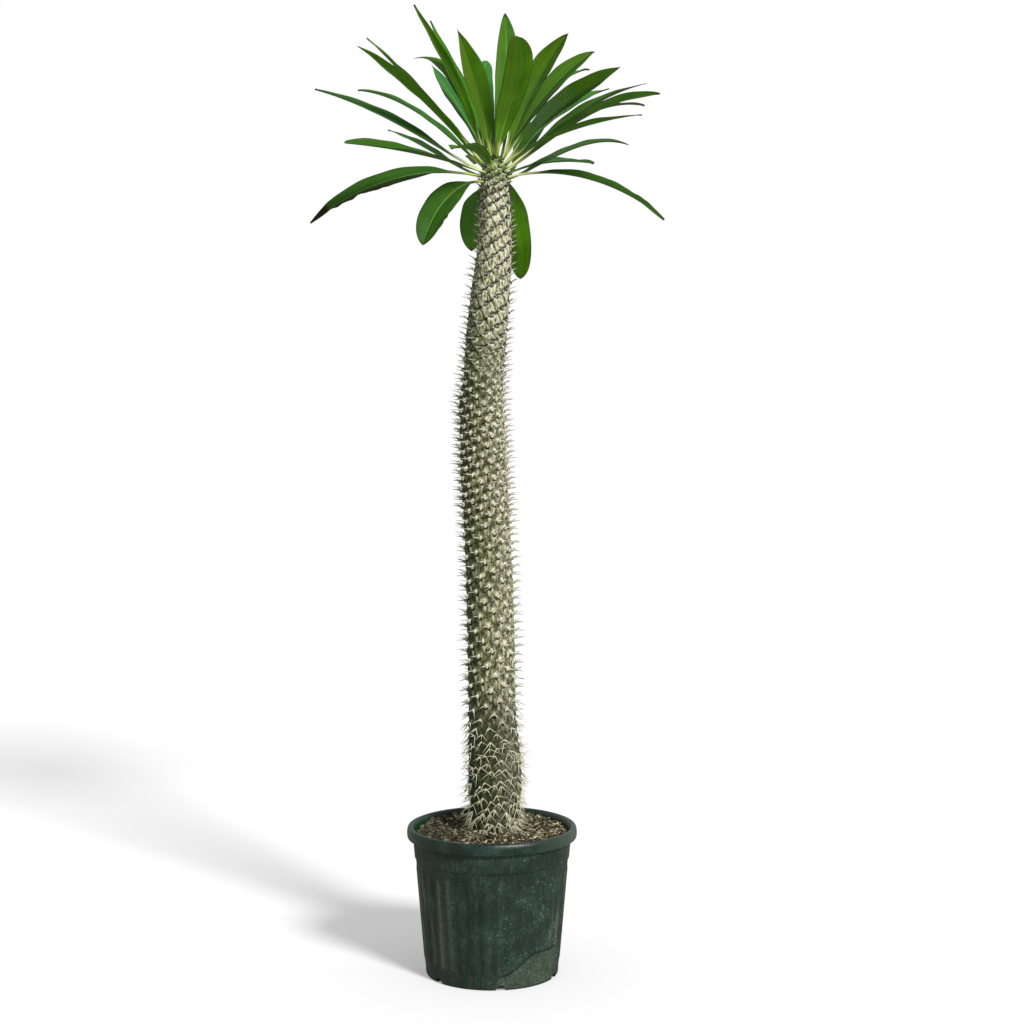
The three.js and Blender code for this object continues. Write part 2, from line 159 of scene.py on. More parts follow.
def addPiece(name, mesh, material, slot, *nodes):
    # a finished piece: it stands for its CAD nodes and rides with the rest
    piece = bpy.data.objects.new(name, mesh)
    bpy.context.scene.collection.objects.link(piece)
    mesh.name = name
    mesh.materials.clear()
    mesh.materials.append(material)
    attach(piece, "root")
    if nodes:
        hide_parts(*nodes)
    return piece


def takeMesh(obj):
    mesh = obj.data
    bpy.data.objects.remove(obj)
    return mesh


def cutUpright(obj, cuts):
    # cuts only the edges that stand upright, so the new rows lie level
    bpy.ops.object.mode_set(mode="EDIT")
    bpy.ops.mesh.select_mode(type="EDGE")
    bpy.ops.mesh.select_all(action="DESELECT")
    bpy.ops.object.mode_set(mode="OBJECT")
    ends = np.empty(len(obj.data.edges) * 2, int)
    obj.data.edges.foreach_get("vertices", ends)
    rise = np.ptp(coordsOf(obj)[ends.reshape(-1, 2), 2], axis=1)
    obj.data.edges.foreach_set("select", rise > 1e-5)
    bpy.ops.object.mode_set(mode="EDIT")
    bpy.ops.mesh.subdivide(number_cuts=cuts)
    bpy.ops.object.mode_set(mode="OBJECT")


def manyCopies(blank, copies, *names):
    # one mesh of many copies of a small blank: a copy is a 3x3 matrix, a middle and a value for
    # each of the named attributes
    source = coordsOf(blank)
    sides = [list(p.vertices) for p in blank.data.polygons]
    points = [source @ turned.T + middle for turned, middle, *_ in copies]
    faces = [[v + k * len(source) for v in side] for k in range(len(copies)) for side in sides]
    mesh = bpy.data.meshes.new(blank.name + "Copies")
    mesh.from_pydata(np.concatenate(points).tolist(), [], faces)
    for k, name in enumerate(names, 2):
        addAttributes(mesh, **{name: np.repeat([copy[k] for copy in copies], len(source))})
    bpy.data.objects.remove(blank)
    return mesh


# camera
cameraSetup = {"place": (0.0354, -4.0, 1.22), "tilt": 5.7, "lens": 81.03}
cameraTurn = (math.radians(90 - cameraSetup["tilt"]), 0, 0)
bpy.ops.object.camera_add(location=cameraSetup["place"], rotation=cameraTurn)
camera = bpy.context.object
camera.data.lens = cameraSetup["lens"]
camera.data.sensor_width = 36
bpy.context.scene.camera = camera
deselectAll()
print("camera placed")


# how the plant grows: the spiral of tubercles, in mm
growth = {
    # height, sideways place of the middle, radius over the tubercles
    "stations": [(180, 5, 0, 38), (262, 5, 0, 40), (300, 5, 0, 44), (330, 5, 1, 48), (385, 5, 2, 47),
                 (450, 1, 3, 43.5), (580, -1, 4, 43), (700, -4, 4, 42.5), (810, -9, 3, 41.5), (880, -13, 1, 42),
                 (950, -15, -1, 41), (1010, -18, -3, 39.5), (1045, -15, -4, 36.5), (1100, -11, -5, 35.5),
                 (1190, -3, -5, 34), (1290, 6, -3, 29), (1345, 6, -1, 27), (1392, 5, 0, 23.5)],
    # rise from one tubercle to the next, in trunk radii, at heights
    "climbs": [(262, 0.04), (440, 0.04), (500, 0.048), (760, 0.048), (830, 0.032), (980, 0.032), (1080, 0.043),
               (1180, 0.074), (1340, 0.074), (1370, 0.051)],
    "start": 262,
    # in the old part, below these heights, the tubercles are crowded down to its start
    "old": (408, 478), "oldStart": 246, "oldClimb": 0.0185,
    "turn": -137.508,  # golden angle, so eight and five rows climb the trunk
    "crownStart": 1392, "crownRadius": 23.5, "crownHeight": 46, "crownEnd": 72,
    "foot": 188, "footRadius": 38,
    # rows run along every fifth and every eighth tubercle; aside is the part of the girth from one to the next
    "row": 5, "rowAside": 0.0557, "cross": 8, "crossAside": 0.0902,
}
turn = math.radians(growth["turn"])
band = 13  # steps of the spiral from a cell's lower corner to its upper one
halfBand = (band * turn / 2 + 14 * math.pi) % math.pi


def trunkAt(height):
    rows = growth["stations"]
    last = len(rows) - 1
    z = min(max(height, rows[0][0]), rows[last][0])
    i = 0
    while i < last - 1 and z > rows[i + 1][0]:
        i += 1

    def row(k):
        return rows[min(max(k, 0), last)]

    span = row(i + 1)[0] - row(i)[0]
    t = (z - row(i)[0]) / span
    found = []
    for k in (1, 2, 3):
        a, b = row(i)[k], row(i + 1)[k]
        m, n = ((row(j + 1)[k] - row(j - 1)[k]) / (row(j + 1)[0] - row(j - 1)[0]) * span for j in (i, i + 1))
        found.append(a + t * (m + t * (3 * (b - a) - 2 * m - n + t * (2 * (a - b) + m + n))))
    return found


def climbAt(z):
    heights, values = zip(*growth["climbs"])
    return np.interp(z, heights, values)


def domeAt(angle):
    # height, middle, radius and tilt of a place on the crown's dome
    x, y, _ = trunkAt(growth["crownStart"])
    c, s = math.cos(angle), math.sin(angle)
    return (growth["crownStart"] + growth["crownHeight"] * s, x, y, growth["crownRadius"] * c,
            math.atan2(s / growth["crownHeight"], c / growth["crownRadius"]))


def growLevels():
    # index, height, middle, radius, tilt and dome angle of each step of the spiral
    rows = []
    z = growth["start"]
    while z < growth["crownStart"]:
        x, y, radius = trunkAt(z)
        rows.append((len(rows), z, x, y, radius, 0, 0))
        z += radius * climbAt(z)
    dome = 0.01
    while dome < math.radians(growth["crownEnd"]):
        rows.append((len(rows), *domeAt(dome), dome))
        widening = math.hypot(growth["crownRadius"] * math.sin(dome), growth["crownHeight"] * math.cos(dome))
        dome += climbAt(growth["crownStart"]) * rows[-1][4] / widening
    # in the old part the steps are smaller, and they count backwards, so the spiral runs on unbroken
    young = [r for r in rows if r[1] >= growth["old"][1]]
    index, z = young[0][0], young[0][1]
    old = []
    while z > growth["oldStart"]:
        fade = smoothstep(z, *growth["old"])
        x, y, radius = trunkAt(z)
        z -= radius * lerp(growth["oldClimb"], climbAt(z), fade)
        index -= 1
        x, y, radius = trunkAt(z)
        old.append((index, z, x, y, radius, 0, 0))
    return np.array(old[::-1] + young)


levels = growLevels()
cells = np.arange(levels[0, 0], levels[-1, 0] - band + 1)  # one tubercle a cell
cellAngle = cells * turn + halfBand
cellZ, cellX, cellY, cellRadius, cellTilt, cellDome = (
    np.interp(cells + band / 2, levels[:, 0], levels[:, k]) for k in range(1, 7))
cellNormal = around(0, 0, np.sin(cellTilt), np.cos(cellTilt), cellAngle)
cellPoint = around(cellX, cellY, cellZ, cellRadius, cellAngle)
# radius of a disc as large as the cell
cellSize = np.sqrt(2 * cellRadius * np.gradient(cellZ) / np.maximum(np.cos(cellTilt), 0.3))
print("spiral of", len(cells), "tubercles")


# leaves
leafPlan = {
    # tip from the middle of the crown, elevation at root and tip, width, roll, sway,
    # tone (1 = blue-green), point (0 = long and thin, 1 = blunt), fullness of the blade low down
    "rows": [
        (-315, -20, -85, 14, -40, 44, -40, 0, 0.35, 0.25, 1), (-245, -170, 42, 15, 2, 44, -18, 0, 0.4, 1, 1),
        (-310, 30, 145, 29, 15, 40, -15, 0, 0.45, 0.6, 0.8), (-245, 170, 155, 38, 6, 29, 0, 0, 0.45, 0.6, 0.8),
        (-195, 240, 90, 12, 14, 22, 4, 0, 0.6, 0.7, 0.8), (-230, -60, 210, 46, 33, 44, 10, 0, 0, 0.1, 1),
        (-220, 45, 235, 44, 44, 42, 8, 0, 0, 0, 1), (-135, -50, 280, 68, 58, 29, 18, 0, 0, 0, 1),
        (-115, 150, 275, 60, 56, 36, 10, 0, 0.3, 0, 0.6), (-145, 210, 215, 62, -4, 28, 0, 0, 0, 0.4, 0),
        (-115, 235, 205, 44, 34, 42, 8, 0, 1, 0.3, 0.8), (-60, -150, 229, 70, 46, 40, 4, 4, 0, 0.05, 1.2),
        (-14, 255, 215, 50, 26, 30, 24, 12, 0.8, 1, 0.6), (18, 120, 285, 72, 62, 40, 28, -8, 0.15, 0.6, 0.8),
        (40, -178, 214, 62, 44, 47, 0, 16, 0, 0.95, 1.2), (125, -75, 230, 62, 43, 52, -10, 0, 0, 0.6, 1.1),
        (175, 90, 215, 56, 28, 48, 18, 0, 0.05, 0.6, 1), (170, 200, 195, 48, 8, 44, 0, 0, 0.15, 0.4, 0.8),
        (210, -120, 170, 46, 24, 54, -12, 0, 0.1, 0.65, 1), (205, 200, 160, 40, 14, 44, 0, 0, 0.7, 0.4, 0.6),
        (265, 80, 160, 38, 14, 40, 6, 0, 0.15, 0.3, 0.8), (280, -60, 130, 32, 0, 46, 24, 0, 0, 0.4, 1),
        (265, 130, 125, 34, -8, 32, 4, 0, 0.1, 0.3, 0.6), (245, -150, 90, 31, 4, 34, 4, 0, 0.2, 0.2, 0.8),
        (240, 190, 60, 19, -12, 32, 6, 0, 0.35, 0.5, 0.8), (180, 250, 30, 18, -3, 28, 8, 0, 0.85, 0.95, 0),
        (290, -40, -80, 15, -42, 36, 18, 0, 0, 0.5, 1), (-117, -172, -125, 3, -66, 50, -24, 0, 0.25, 0.75, 0.6),
        (-42, 170, -130, 6, -72, 56, 0, 0, 0.55, 0.7, 0), (45, 160, -180, 12, -76, 52, 0, 0, 0, 0.85, 0),
        (-68, -250, 28, 22, -8, 44, 0, 0, 0.1, 0.5, 0.8), (-20, 300, 80, 24, -4, 42, 0, 0, 0.4, 0.3, 0),
        (-40, 280, 30, 22, -6, 46, 0, 0, 0.4, 0.3, 0), (95, 260, 105, 28, 2, 44, 0, 0, 0.4, 0.3, 0),
        (-28, 12, 130, 80, 78, 24, 0, 0, 0, 0.2, 0), (48, 30, 170, 76, 70, 30, 0, 0, 0, 0.2, 0)],
    # by row: how far the edge has dried, how much the cross veins show, how much painted light pales the left
    # half of the fold while painted shade darkens the right, and the brightness, painted light and shade for
    # how the leaf faces the light and partly its age
    "dryEdges": {0: 1, 26: 0.3, 27: 0.35},
    "veined": {18: 1, 15: 0.2, 24: 0.4},
    "halves": {5: 0.6, 7: 1.2, 8: 0.6, 11: 1.7, 13: 0.4, 14: 0.6, 15: 0.6, 16: 0.5},
    "brightness": {0: 0.52, 1: 0.58, 2: 0.7, 3: 0.85, 5: 1.3, 6: 1.1, 7: 1.3, 11: 1.3, 13: 0.7, 14: 1.15,
                   15: 0.85, 16: 0.62, 18: 1.05, 20: 0.55, 21: 0.5, 22: 0.65, 23: 0.85, 24: 0.6, 25: 1.3,
                   26: 0.45, 27: 0.48, 28: 0.85, 29: 1.25},
    "middle": (5, 0, 1405),
    "lowestCushion": 1384, "cushionRise": 2.2,
    "petioleHalf": 2.7, "petioleThick": 4.4,
    "bladeThick": 0.9, "ribThick": 2.4,
    "fold": 0.28,  # rise of the blade's edge over its rib, in half widths
    "edgeWave": 1.6, "dryWave": 1.7,
    "rootSink": 1.2,  # the petiole starts this deep in its cushion
}


def pointing(heading, elevation):
    e = math.radians(elevation)
    return around(0, 0, math.sin(e), math.cos(e), heading)


def seatLeaves():
    # each leaf takes the free cushion nearest to its own direction
    taken, seats = set(), []
    for x, y, z, lift, *_ in leafPlan["rows"]:
        azimuth = math.atan2(y, x)
        wanted = math.radians(min(max(lift, 0), 80) * 0.85)
        apart = np.arctan2(np.sin(cellAngle - azimuth), np.cos(cellAngle - azimuth))
        cost = (apart / math.radians(25)) ** 2 + ((cellDome - wanted) / math.radians(12)) ** 2
        cost[cellZ < leafPlan["lowestCushion"]] = np.inf
        cost[list(taken)] = np.inf
        best = int(np.argmin(cost))
        taken.add(best)
        end = np.array(leafPlan["middle"]) + (x, y, z)
        heading = math.atan2(end[1] - cellPoint[best, 1], end[0] - cellPoint[best, 0])
        seats.append({"cell": best, "point": cellPoint[best] + cellNormal[best] * leafPlan["cushionRise"],
                      "heading": heading, "end": end, "normal": pointing(heading, lift)})
    return seats


seats = seatLeaves()


def makeLeafBlank():
    # a flat strip two units wide and long, with an upper and an under side: x runs across, y along
    bpy.ops.mesh.primitive_grid_add(x_subdivisions=14, y_subdivisions=64, size=2)
    blank = bpy.context.object
    applyModifier(blank, "SOLIDIFY", thickness=2, offset=0)
    return blank


def bendLeaf(blank, row, seat, number):
    lift, endLift, width, roll, sway, tone, point, full = row[3:]
    co = coordsOf(blank)
    v, t, face = co[:, 0], (co[:, 1] + 1) / 2, np.sign(co[:, 2])
    t = np.where(t > 0.6, 0.6 + 0.4 * ((t - 0.6) / 0.4) ** 0.8, t)[:, None]  # closer rows towards the tip
    v = v[:, None]
    root = seat["point"] + seat["normal"] * 0.3
    end = seat["end"]
    length = np.linalg.norm(end - root)
    heading = seat["heading"]
    level = pointing(heading + math.pi / 2, 0)
    root = root - seat["normal"] * leafPlan["rootSink"]
    p1 = root + seat["normal"] * length * 0.33
    p2 = end - pointing(heading, endLift) * length * 0.35 + level * sway * 2
    middle = root * (1 - t) ** 3 + p1 * 3 * t * (1 - t) ** 2 + p2 * 3 * t ** 2 * (1 - t) + end * t ** 3
    along = (p1 - root) * (1 - t) ** 2 + (p2 - p1) * 2 * t * (1 - t) + (end - p2) * t ** 2
    along /= np.linalg.norm(along, axis=1, keepdims=True)
    above = np.cross(along, level)
    above /= np.linalg.norm(above, axis=1, keepdims=True)
    angle = math.radians(roll) * smoothstep(t, 0, 0.5)
    side = level * np.cos(angle) + above * np.sin(angle)
    above = above * np.cos(angle) - level * np.sin(angle)

    blade = smoothstep(t, 0.12, 0.3)
    toTip = np.clip((t - 0.6) / 0.4, 0, 1)
    thin, blunt = max(0.5 - point, 0) * 2, max(point - 0.5, 0) * 2
    closing = (1 - toTip ** lerp(lerp(2.3, 1.45, thin), 4, blunt)) ** lerp(lerp(0.85, 1.05, thin), 0.55, blunt)
    early = 1 - (1 - np.clip((t - 0.08) / 0.6, 0, 1)) ** 2
    half = lerp(leafPlan["petioleHalf"], width / 2, lerp(smoothstep(t, 0.13, 0.6), early, full)) * closing
    half = np.maximum(half, 0.35)
    dryShare = leafPlan["dryEdges"].get(number, 0)
    dry = dryShare * np.maximum(smoothstep(v, 0.1, 0.9) * smoothstep(t, 0.4, 0.75),
                                0.75 * smoothstep(t, 0.8, 0.96) * smoothstep(dryShare, 0.5, 1))
    wave = leafPlan["edgeWave"] * np.sin(9 * t + number * 2.3 + np.sign(v)) * blade * v ** 2
    ripple = 0.5 * np.sin(31 * t + number) * blade * np.abs(v) ** 3
    ripple = ripple + leafPlan["dryWave"] * dry * np.sin(58 * t + 2 * np.sin(23 * t)) * closing
    arch = leafPlan["fold"] * half * blade * (1.3 * np.abs(v) - 0.3 * v ** 2) + wave + ripple
    reach = np.abs(v) * half
    petiole = leafPlan["petioleThick"] / 2 * np.sqrt(np.maximum(1 - 0.96 * v ** 2, 0.03))
    top = lerp(petiole - 0.3, leafPlan["bladeThick"] / 2 - 0.55 * np.exp(-(reach / 1.5) ** 2) * closing, blade)
    rib = (lerp(leafPlan["ribThick"], 0.9, t) - 0.4) * np.exp(-(reach / 2.2) ** 2) * closing
    under = lerp(-petiole - 0.3, -leafPlan["bladeThick"] / 2 * (1 - 0.4 * v ** 2) - rib, blade)
    height = arch + np.where(face[:, None] > 0, top, under)
    bitten = 1 - 0.1 * dry * (1 + np.sin(41 * t + 3 * np.sin(17 * t)))

    mesh = blank.data.copy()
    setCoords(mesh, (middle + side * v * half * bitten + above * height) * mm)
    # painted light on the left half of the fold, painted shade on the right half
    paintedFoldShading = np.clip(v * math.copysign(8, heading), -1, 1) * leafPlan["halves"].get(number, 0.15)
    brightness = leafPlan["brightness"].get(number, 1) * (1 + 0.15 * np.minimum(paintedFoldShading, 0))
    addAttributes(mesh, tone=tone, veined=leafPlan["veined"].get(number, 0), seed=number * 0.37, dry=dry,
                  underside=face < 0, half=np.maximum(paintedFoldShading, 0), brightness=brightness, tip=1 - blunt)
    mesh.shade_smooth()
    return mesh


# Fresh succulent leaf: smooth waxy skin, satin shine, pale midrib and petiole, fine cross veins.
leafMaterial, tree, shader = newMaterial("Waxy palm leaf", Roughness=0.48, IOR=1.4)
tone, seed, half, brightness, underside, veins, tip, dry = (
    node("attribute", name)
    for name in ("tone", "seed", "half", "brightness", "underside", "veined", "tip", "dry"))
coords, uvMap = node("object"), node("uv")
across, along, _ = node("split", uvMap)
fromRib = node("ABSOLUTE", node("SUBTRACT", across, 0.5))  # 0 at the rib, 0.5 at the edge
stretched = node("stretch", node("shift", uvMap, seed), (22, 1.6, 1))
stripes = node("noise", stretched, 1, 4, 0.6)  # fine stripes along the blade
mottle = node("noise", coords, 30, 4, 0.6)
greenTone = node("MULTIPLY_ADD", stripes, 0.6, node("MULTIPLY", mottle, 0.4))
green = node("ramp", greenTone, (0.34, "#2C5C06"), (0.5, "#42790F"), (0.66, "#5A8F1C"))
# the blue-green tone, then painted light on the left half of the fold
toned = layered(green, (node("MULTIPLY", tone, 0.8), "#387C3E"), (node("MULTIPLY", half, 0.5), "#86B43C"))
# painted light and shade: each leaf's brightness suits how it faces the light, and partly its age
aged = node("tint", toned, 1.02, brightness)
# veins leave the rib every 4 mm and lean towards the tip
veinPhase = node("MULTIPLY_ADD", along, 76, node("MULTIPLY", fromRib, -4))
veinLine = node("fade", node("PINGPONG", veinPhase, 0.5), 0, 0.2, 1, 0)
veinPatch = node("MULTIPLY", node("fade", along, 0.2, 0.32), node("fade", along, 0.5, 0.72, 1, 0))
veinShade = node("MULTIPLY", veinPatch, veins, 0.55)
veinMask = node("MULTIPLY", veinPatch, veinLine, node("MULTIPLY_ADD", veins, 0.65, 0.06))
# the midrib thins out to the tip, and opens into the pale petiole
ribWide = node("range", along, 0.18, 1, 0.045, 0.014)
ribMask = node("fade", node("DIVIDE", fromRib, ribWide), 0.3, 1.1, 0.6, 0)
ribColour = node("blend", node("fade", along, 0.14, 0.45), "#CFDA98", "#7FA648")
petioleTone = node("MULTIPLY_ADD", node("noise", stretched, 2, 3), 0.05, along)
petioleColour = node("ramp", petioleTone, (0.02, "#6B861C"), (0.06, "#9DB838"), (0.11, "#CBDA6C"),
                     (0.2, "#A6C24C"))
petioleMask = node("fade", node("MULTIPLY_ADD", fromRib, 0.1, along), 0.1, 0.17, 1, 0)
# some petioles are pale at their edges, others stay green
edgePick = node("fade", node("PINGPONG", node("MULTIPLY", seed, 3.7), 0.5), 0.15, 0.35, 0.25, 1)
paleEdge = node("MULTIPLY", node("fade", node("MULTIPLY_ADD", along, -0.4, fromRib), 0.27, 0.4),
                node("fade", along, 0.13, 0.24, 0.85, 0), edgePick)
# edge and tip dry to brown
edgeMask = node("MULTIPLY", node("fade", fromRib, 0.462, 0.5, 0, 0.6), node("fade", along, 0.3, 0.5))
tipMask = node("MULTIPLY", node("fade", along, 0.945, 0.99, 0, 0.88), tip)
dryPatch = node("MULTIPLY", dry, node("ADD", node("noise", coords, 130, 4), 0.5))
dryMask = node("fade", dryPatch, 0.22, 0.5, 0, 0.92)
leafColour = layered(
    aged, (node("MULTIPLY", underside, 0.14), "#779E28"), (veinShade, "#2C5638"), (veinMask, "#A9BA98"),
    (ribMask, ribColour), (petioleMask, petioleColour), (paleEdge, "#F6F7BE"),
    (node("MAXIMUM", node("MAXIMUM", edgeMask, tipMask), dryMask), "#231D0C"))
relief = node("bump", node("MULTIPLY_ADD", veinLine, -0.3, stripes), 0.3, 0.0005)
feed(shader, {"Specular IOR Level": 0.16, "Base Color": leafColour, "Normal": relief})

leafBlank = makeLeafBlank()
for number, (row, seat) in enumerate(zip(leafPlan["rows"], seats)):
    mesh = bendLeaf(leafBlank, row, seat, number)
    addPiece(f"blade_{number + 1:02d}", mesh, leafMaterial, "leaf", f"leaf_{number + 1:02d}")
bpy.data.objects.remove(leafBlank)
print(len(seats), "leaves grown")


# trunk skin
skinPlan = {
    "columns": 176, "rows": (4, 108),  # cuts, made one after the other, so 545 rows
    "rowHeights": [(0, 250), (70, 480), (340, 1080), (527, 1392)],  # closest rows in the young part
    "domeRows": 15,
    "coneRelief": 0.085, "scaleRelief": 0.1,  # height of a tubercle, in trunk radii
    "scaleFrom": (1040, 1130),  # the young tubercles above are flat scales, the ones below are cones
    # the groove between two rows of scales runs this far above their spines, in rows, and swings as
    # far as the scallop between them
    "grooveOver": 0.12, "scallop": 0.075,
    "grooveHalf": 1.3, "crossHalf": 1.3,
    "ridge": 1.1, "pit": 1.8,  # height of the ridge under each tubercle's knob, depth of the pit between them
    "coneWide": 0.98, "coneUp": 0.72, "coneDown": 1.4, "conePower": 1.3,
    "knob": 1.0, "knobSpread": 3,
    "wrinkle": 0.6,
    "soilLine": (248, 262), "ridgesFrom": (400, 500),
    "cushionSpread": 4.2,
}


def makeTrunkBlank():
    bpy.ops.mesh.primitive_cylinder_add(vertices=skinPlan["columns"], radius=1, depth=1, end_fill_type="NGON")
    skin = bpy.context.object
    for cuts in skinPlan["rows"]:
        cutUpright(skin, cuts)
    return skin


def smoothTrunk(co):
    # the plain form under the tubercles: a few rows in the soil, then the stem, then the dome
    rowCount = (skinPlan["rows"][0] + 1) * (skinPlan["rows"][1] + 1)
    rowOf = np.rint((co[:, 2] + 0.5) * rowCount).astype(int)
    angle = np.arctan2(co[:, 1], co[:, 0])
    counts, heights = zip(*skinPlan["rowHeights"])
    stem = np.interp(np.arange(counts[-1] + 1), counts, heights)
    rows = [(z, *growth["stations"][0][1:3], growth["footRadius"], 0) for z in (growth["foot"], 215, 238)]
    rows += [(z, *trunkAt(z), 0) for z in stem]
    rows += [domeAt(dome) for dome in np.linspace(0, math.radians(80), skinPlan["domeRows"] + 1)[1:]]
    z, x, y, radius, tilt = np.array(rows)[np.minimum(rowOf, len(rows) - 1)].T
    return around(x, y, z, radius, angle), around(0, 0, np.sin(tilt), np.cos(tilt), angle), radius, angle


def nearestCells(points, middles, count):
    finder = kdtree.KDTree(len(middles))
    for i, p in enumerate(middles):
        finder.insert(p, i)
    finder.balance()
    return np.array([[n[1] for n in finder.find_n(p, count)] for p in points])


def rowPhase(angle, level, radius, climb, step):
    # which of the rows along every step-th tubercle a point lies in, a whole number on the row, and
    # the rows' spacing in mm
    perLevel = round(step * turn / math.tau) - step * turn / math.tau
    phase = step * (angle - halfBand) / math.tau + perLevel * level
    return phase, 1 / np.hypot(step / (math.tau * np.maximum(radius, 5)), perLevel / np.maximum(climb, 0.5))


def makeTrunkSkin():
    skin = makeTrunkBlank()
    point, normal, radius, angle = smoothTrunk(coordsOf(skin))
    z = point[:, 2]

    # cones: each tubercle is sharpest at its spines and runs out below them
    near = nearestCells(point, cellPoint, 5)
    cone, ridge = np.zeros(len(point)), np.zeros(len(point))
    for i in near.T:
        away = point - cellPoint[i]
        up = away[:, 2] / cellSize[i]
        across = np.linalg.norm(away[:, :2], axis=1) / cellSize[i]
        tall = np.where(up > 0, skinPlan["coneUp"], skinPlan["coneDown"])
        cone = np.maximum(cone, 1 - np.hypot(across / skinPlan["coneWide"], up / tall) ** skinPlan["conePower"])
        ridge = np.maximum(ridge, np.exp(-(across / 0.24) ** 2 - ((up + 1) / 0.5) ** 2))

    # scales: a sharp groove over each row of every fifth tubercle, softer ones along every eighth
    level = np.interp(z, levels[:, 1], levels[:, 0]) - band / 2
    climb = np.interp(z, levels[:, 1], np.gradient(levels[:, 1]))
    rowAt, rowGap = rowPhase(angle, level, radius, climb, growth["row"])
    crossAt, crossGap = rowPhase(angle, level, radius, climb, growth["cross"])
    grooveAt = rowAt + skinPlan["grooveOver"] + skinPlan["scallop"] * np.cos(math.tau * crossAt)
    groove = np.exp(-(np.abs(grooveAt - np.rint(grooveAt)) * rowGap / skinPlan["grooveHalf"]) ** 2)
    cross = np.exp(-(np.abs(crossAt - 0.5 - np.rint(crossAt - 0.5)) * crossGap / skinPlan["crossHalf"]) ** 2)
    scale = 1 - np.maximum(groove, 0.5 * cross)
    # a pit right under each knob
    row, crossed = rowAt - np.rint(rowAt), crossAt - np.rint(crossAt)
    aside = math.tau * radius * (growth["rowAside"] * row + growth["crossAside"] * crossed)
    upward = climb * (growth["row"] * crossed - growth["cross"] * row)
    pit = np.exp(-((aside - 1) / 2.6) ** 2 - ((upward + 5) / 3.4) ** 2)

    young = smoothstep(z, *skinPlan["scaleFrom"])
    above = smoothstep(z, *skinPlan["soilLine"])
    knob = np.exp(-(np.linalg.norm(point - cellPoint[near[:, 0]], axis=1) / skinPlan["knobSpread"]) ** 2)
    wrinkle = np.array([noise.fractal(Vector(p * (0.22, 0.22, 0.07)), 0.8, 2.1, 3) for p in point])
    lift = lerp((cone - 1) * skinPlan["coneRelief"], (scale - 1) * skinPlan["scaleRelief"], young) * radius
    aged = (1 - young) * smoothstep(z, *skinPlan["ridgesFrom"])
    lift = lift + aged * (ridge * skinPlan["ridge"] - pit * skinPlan["pit"])
    lift = (lift + knob * skinPlan["knob"] + wrinkle * skinPlan["wrinkle"]) * above
    # a cushion under each petiole
    for seat in seats:
        away = np.linalg.norm(point - cellPoint[seat["cell"]], axis=1) / skinPlan["cushionSpread"]
        lift += np.exp(-away ** 2) * (leafPlan["cushionRise"] - skinPlan["knob"] * 0.6)
    setCoords(skin.data, (point + normal * lift[:, None]) * mm)

    addAttributes(skin.data, valley=(1 - cone) * (1 - young) * above, ridge=ridge * aged, side=np.cos(angle),
                  girth=math.tau * radius, climb=climb,
                  rowSin=np.sin(math.tau * rowAt), rowCos=np.cos(math.tau * rowAt),
                  crossSin=np.sin(math.tau * crossAt), crossCos=np.cos(math.tau * crossAt))
    skin.data.shade_smooth()
    return takeMesh(skin)


# Succulent stem skin, grey and corky with age: matt, pale on the tubercles, with painted shade dark in the
# grooves and valleys and on the side away from the sun, and painted light on the sunny side.
skinMaterial, tree, shader = newMaterial("Aged succulent skin", Roughness=0.8, IOR=1.4)
side, valley, ridge, girth, climb, rowSin, rowCos, crossSin, crossCos = (
    node("attribute", name)
    for name in ("side", "valley", "ridge", "girth", "climb", "rowSin", "rowCos", "crossSin", "crossCos"))
coords = node("object")
z = node("split", coords)[2]
fibres = node("noise", node("stretch", coords, (1, 1, 0.38)), 270, 3, 0.6)  # 4 mm wide, 10 mm tall
lumps = node("noise", coords, 120, 2)  # 8 mm
streaks = node("MULTIPLY_ADD", fibres, 0.68, node("MULTIPLY", lumps, 0.32))
broad = node("noise", coords, 18, 4)
grain = node("noise", coords, 150, 3)  # 7 mm patches that break the lines
height = node("MULTIPLY_ADD", broad, 0.1, z)
youngMask = node("fade", height, 1.1, 1.25)
scaleMask = node("fade", height, 1.08, 1.15)
coneMask = node("SUBTRACT", 1, scaleMask)
oldMask = node("fade", height, 0.48, 0.6, 0.9, 0)
grey = node("ramp", streaks, (0.36, "#33361C"), (0.45, "#666A44"), (0.53, "#A3A474"), (0.63, "#DEDDB8"))
pale = node("ramp", streaks, (0.38, "#363A1F"), (0.45, "#868A5E"), (0.515, "#C6C699"), (0.58, "#FAF8E2"))
oldSkin = node("ramp", streaks, (0.38, "#1E2010"), (0.5, "#3A3D22"), (0.62, "#5E5F38"), (0.75, "#8A8858"))
# painted light: paler on the sunny side
sunMask = node("MULTIPLY", node("fade", node("MULTIPLY_ADD", broad, 0.6, side), 0.2, 0.9, 0, 0.5),
               node("fade", streaks, 0.44, 0.54, 0.12, 1), node("MULTIPLY_ADD", oldMask, -0.6, 0.92))
# darker and greener where the young part begins, with painted shade making the band stronger on the side away
# from the sun; fresh green at the very top
midBand = node("MULTIPLY", node("fade", z, 0.97, 1.03), node("fade", z, 1.14, 1.24, 1, 0),
               node("fade", side, -0.3, 0.85, 0.5, 0.12))
newGrowth = node("fade", node("MULTIPLY_ADD", grain, 0.02, z), 1.39, 1.415, 0, 0.85)
# painted shade: darker and greener on the side that faces away from the sun
shadeMask = node("MULTIPLY", node("fade", node("MULTIPLY_ADD", broad, 0.5, side), -0.65, 0.1, 0.75, 0),
                 node("MULTIPLY_ADD", youngMask, -0.35, 1))
ridgeMask = node("MULTIPLY", node("fade", ridge, 0.15, 0.8, 0, 0.8), node("fade", fibres, 0.38, 0.56, 0.2, 1))
# -0.5 to 0.5 across one row of tubercles, 0 on their spines
row, cross = (node("MULTIPLY", node("ARCTAN2", sine, cosine), 1 / math.tau)
              for sine, cosine in ((rowSin, rowCos), (crossSin, crossCos)))
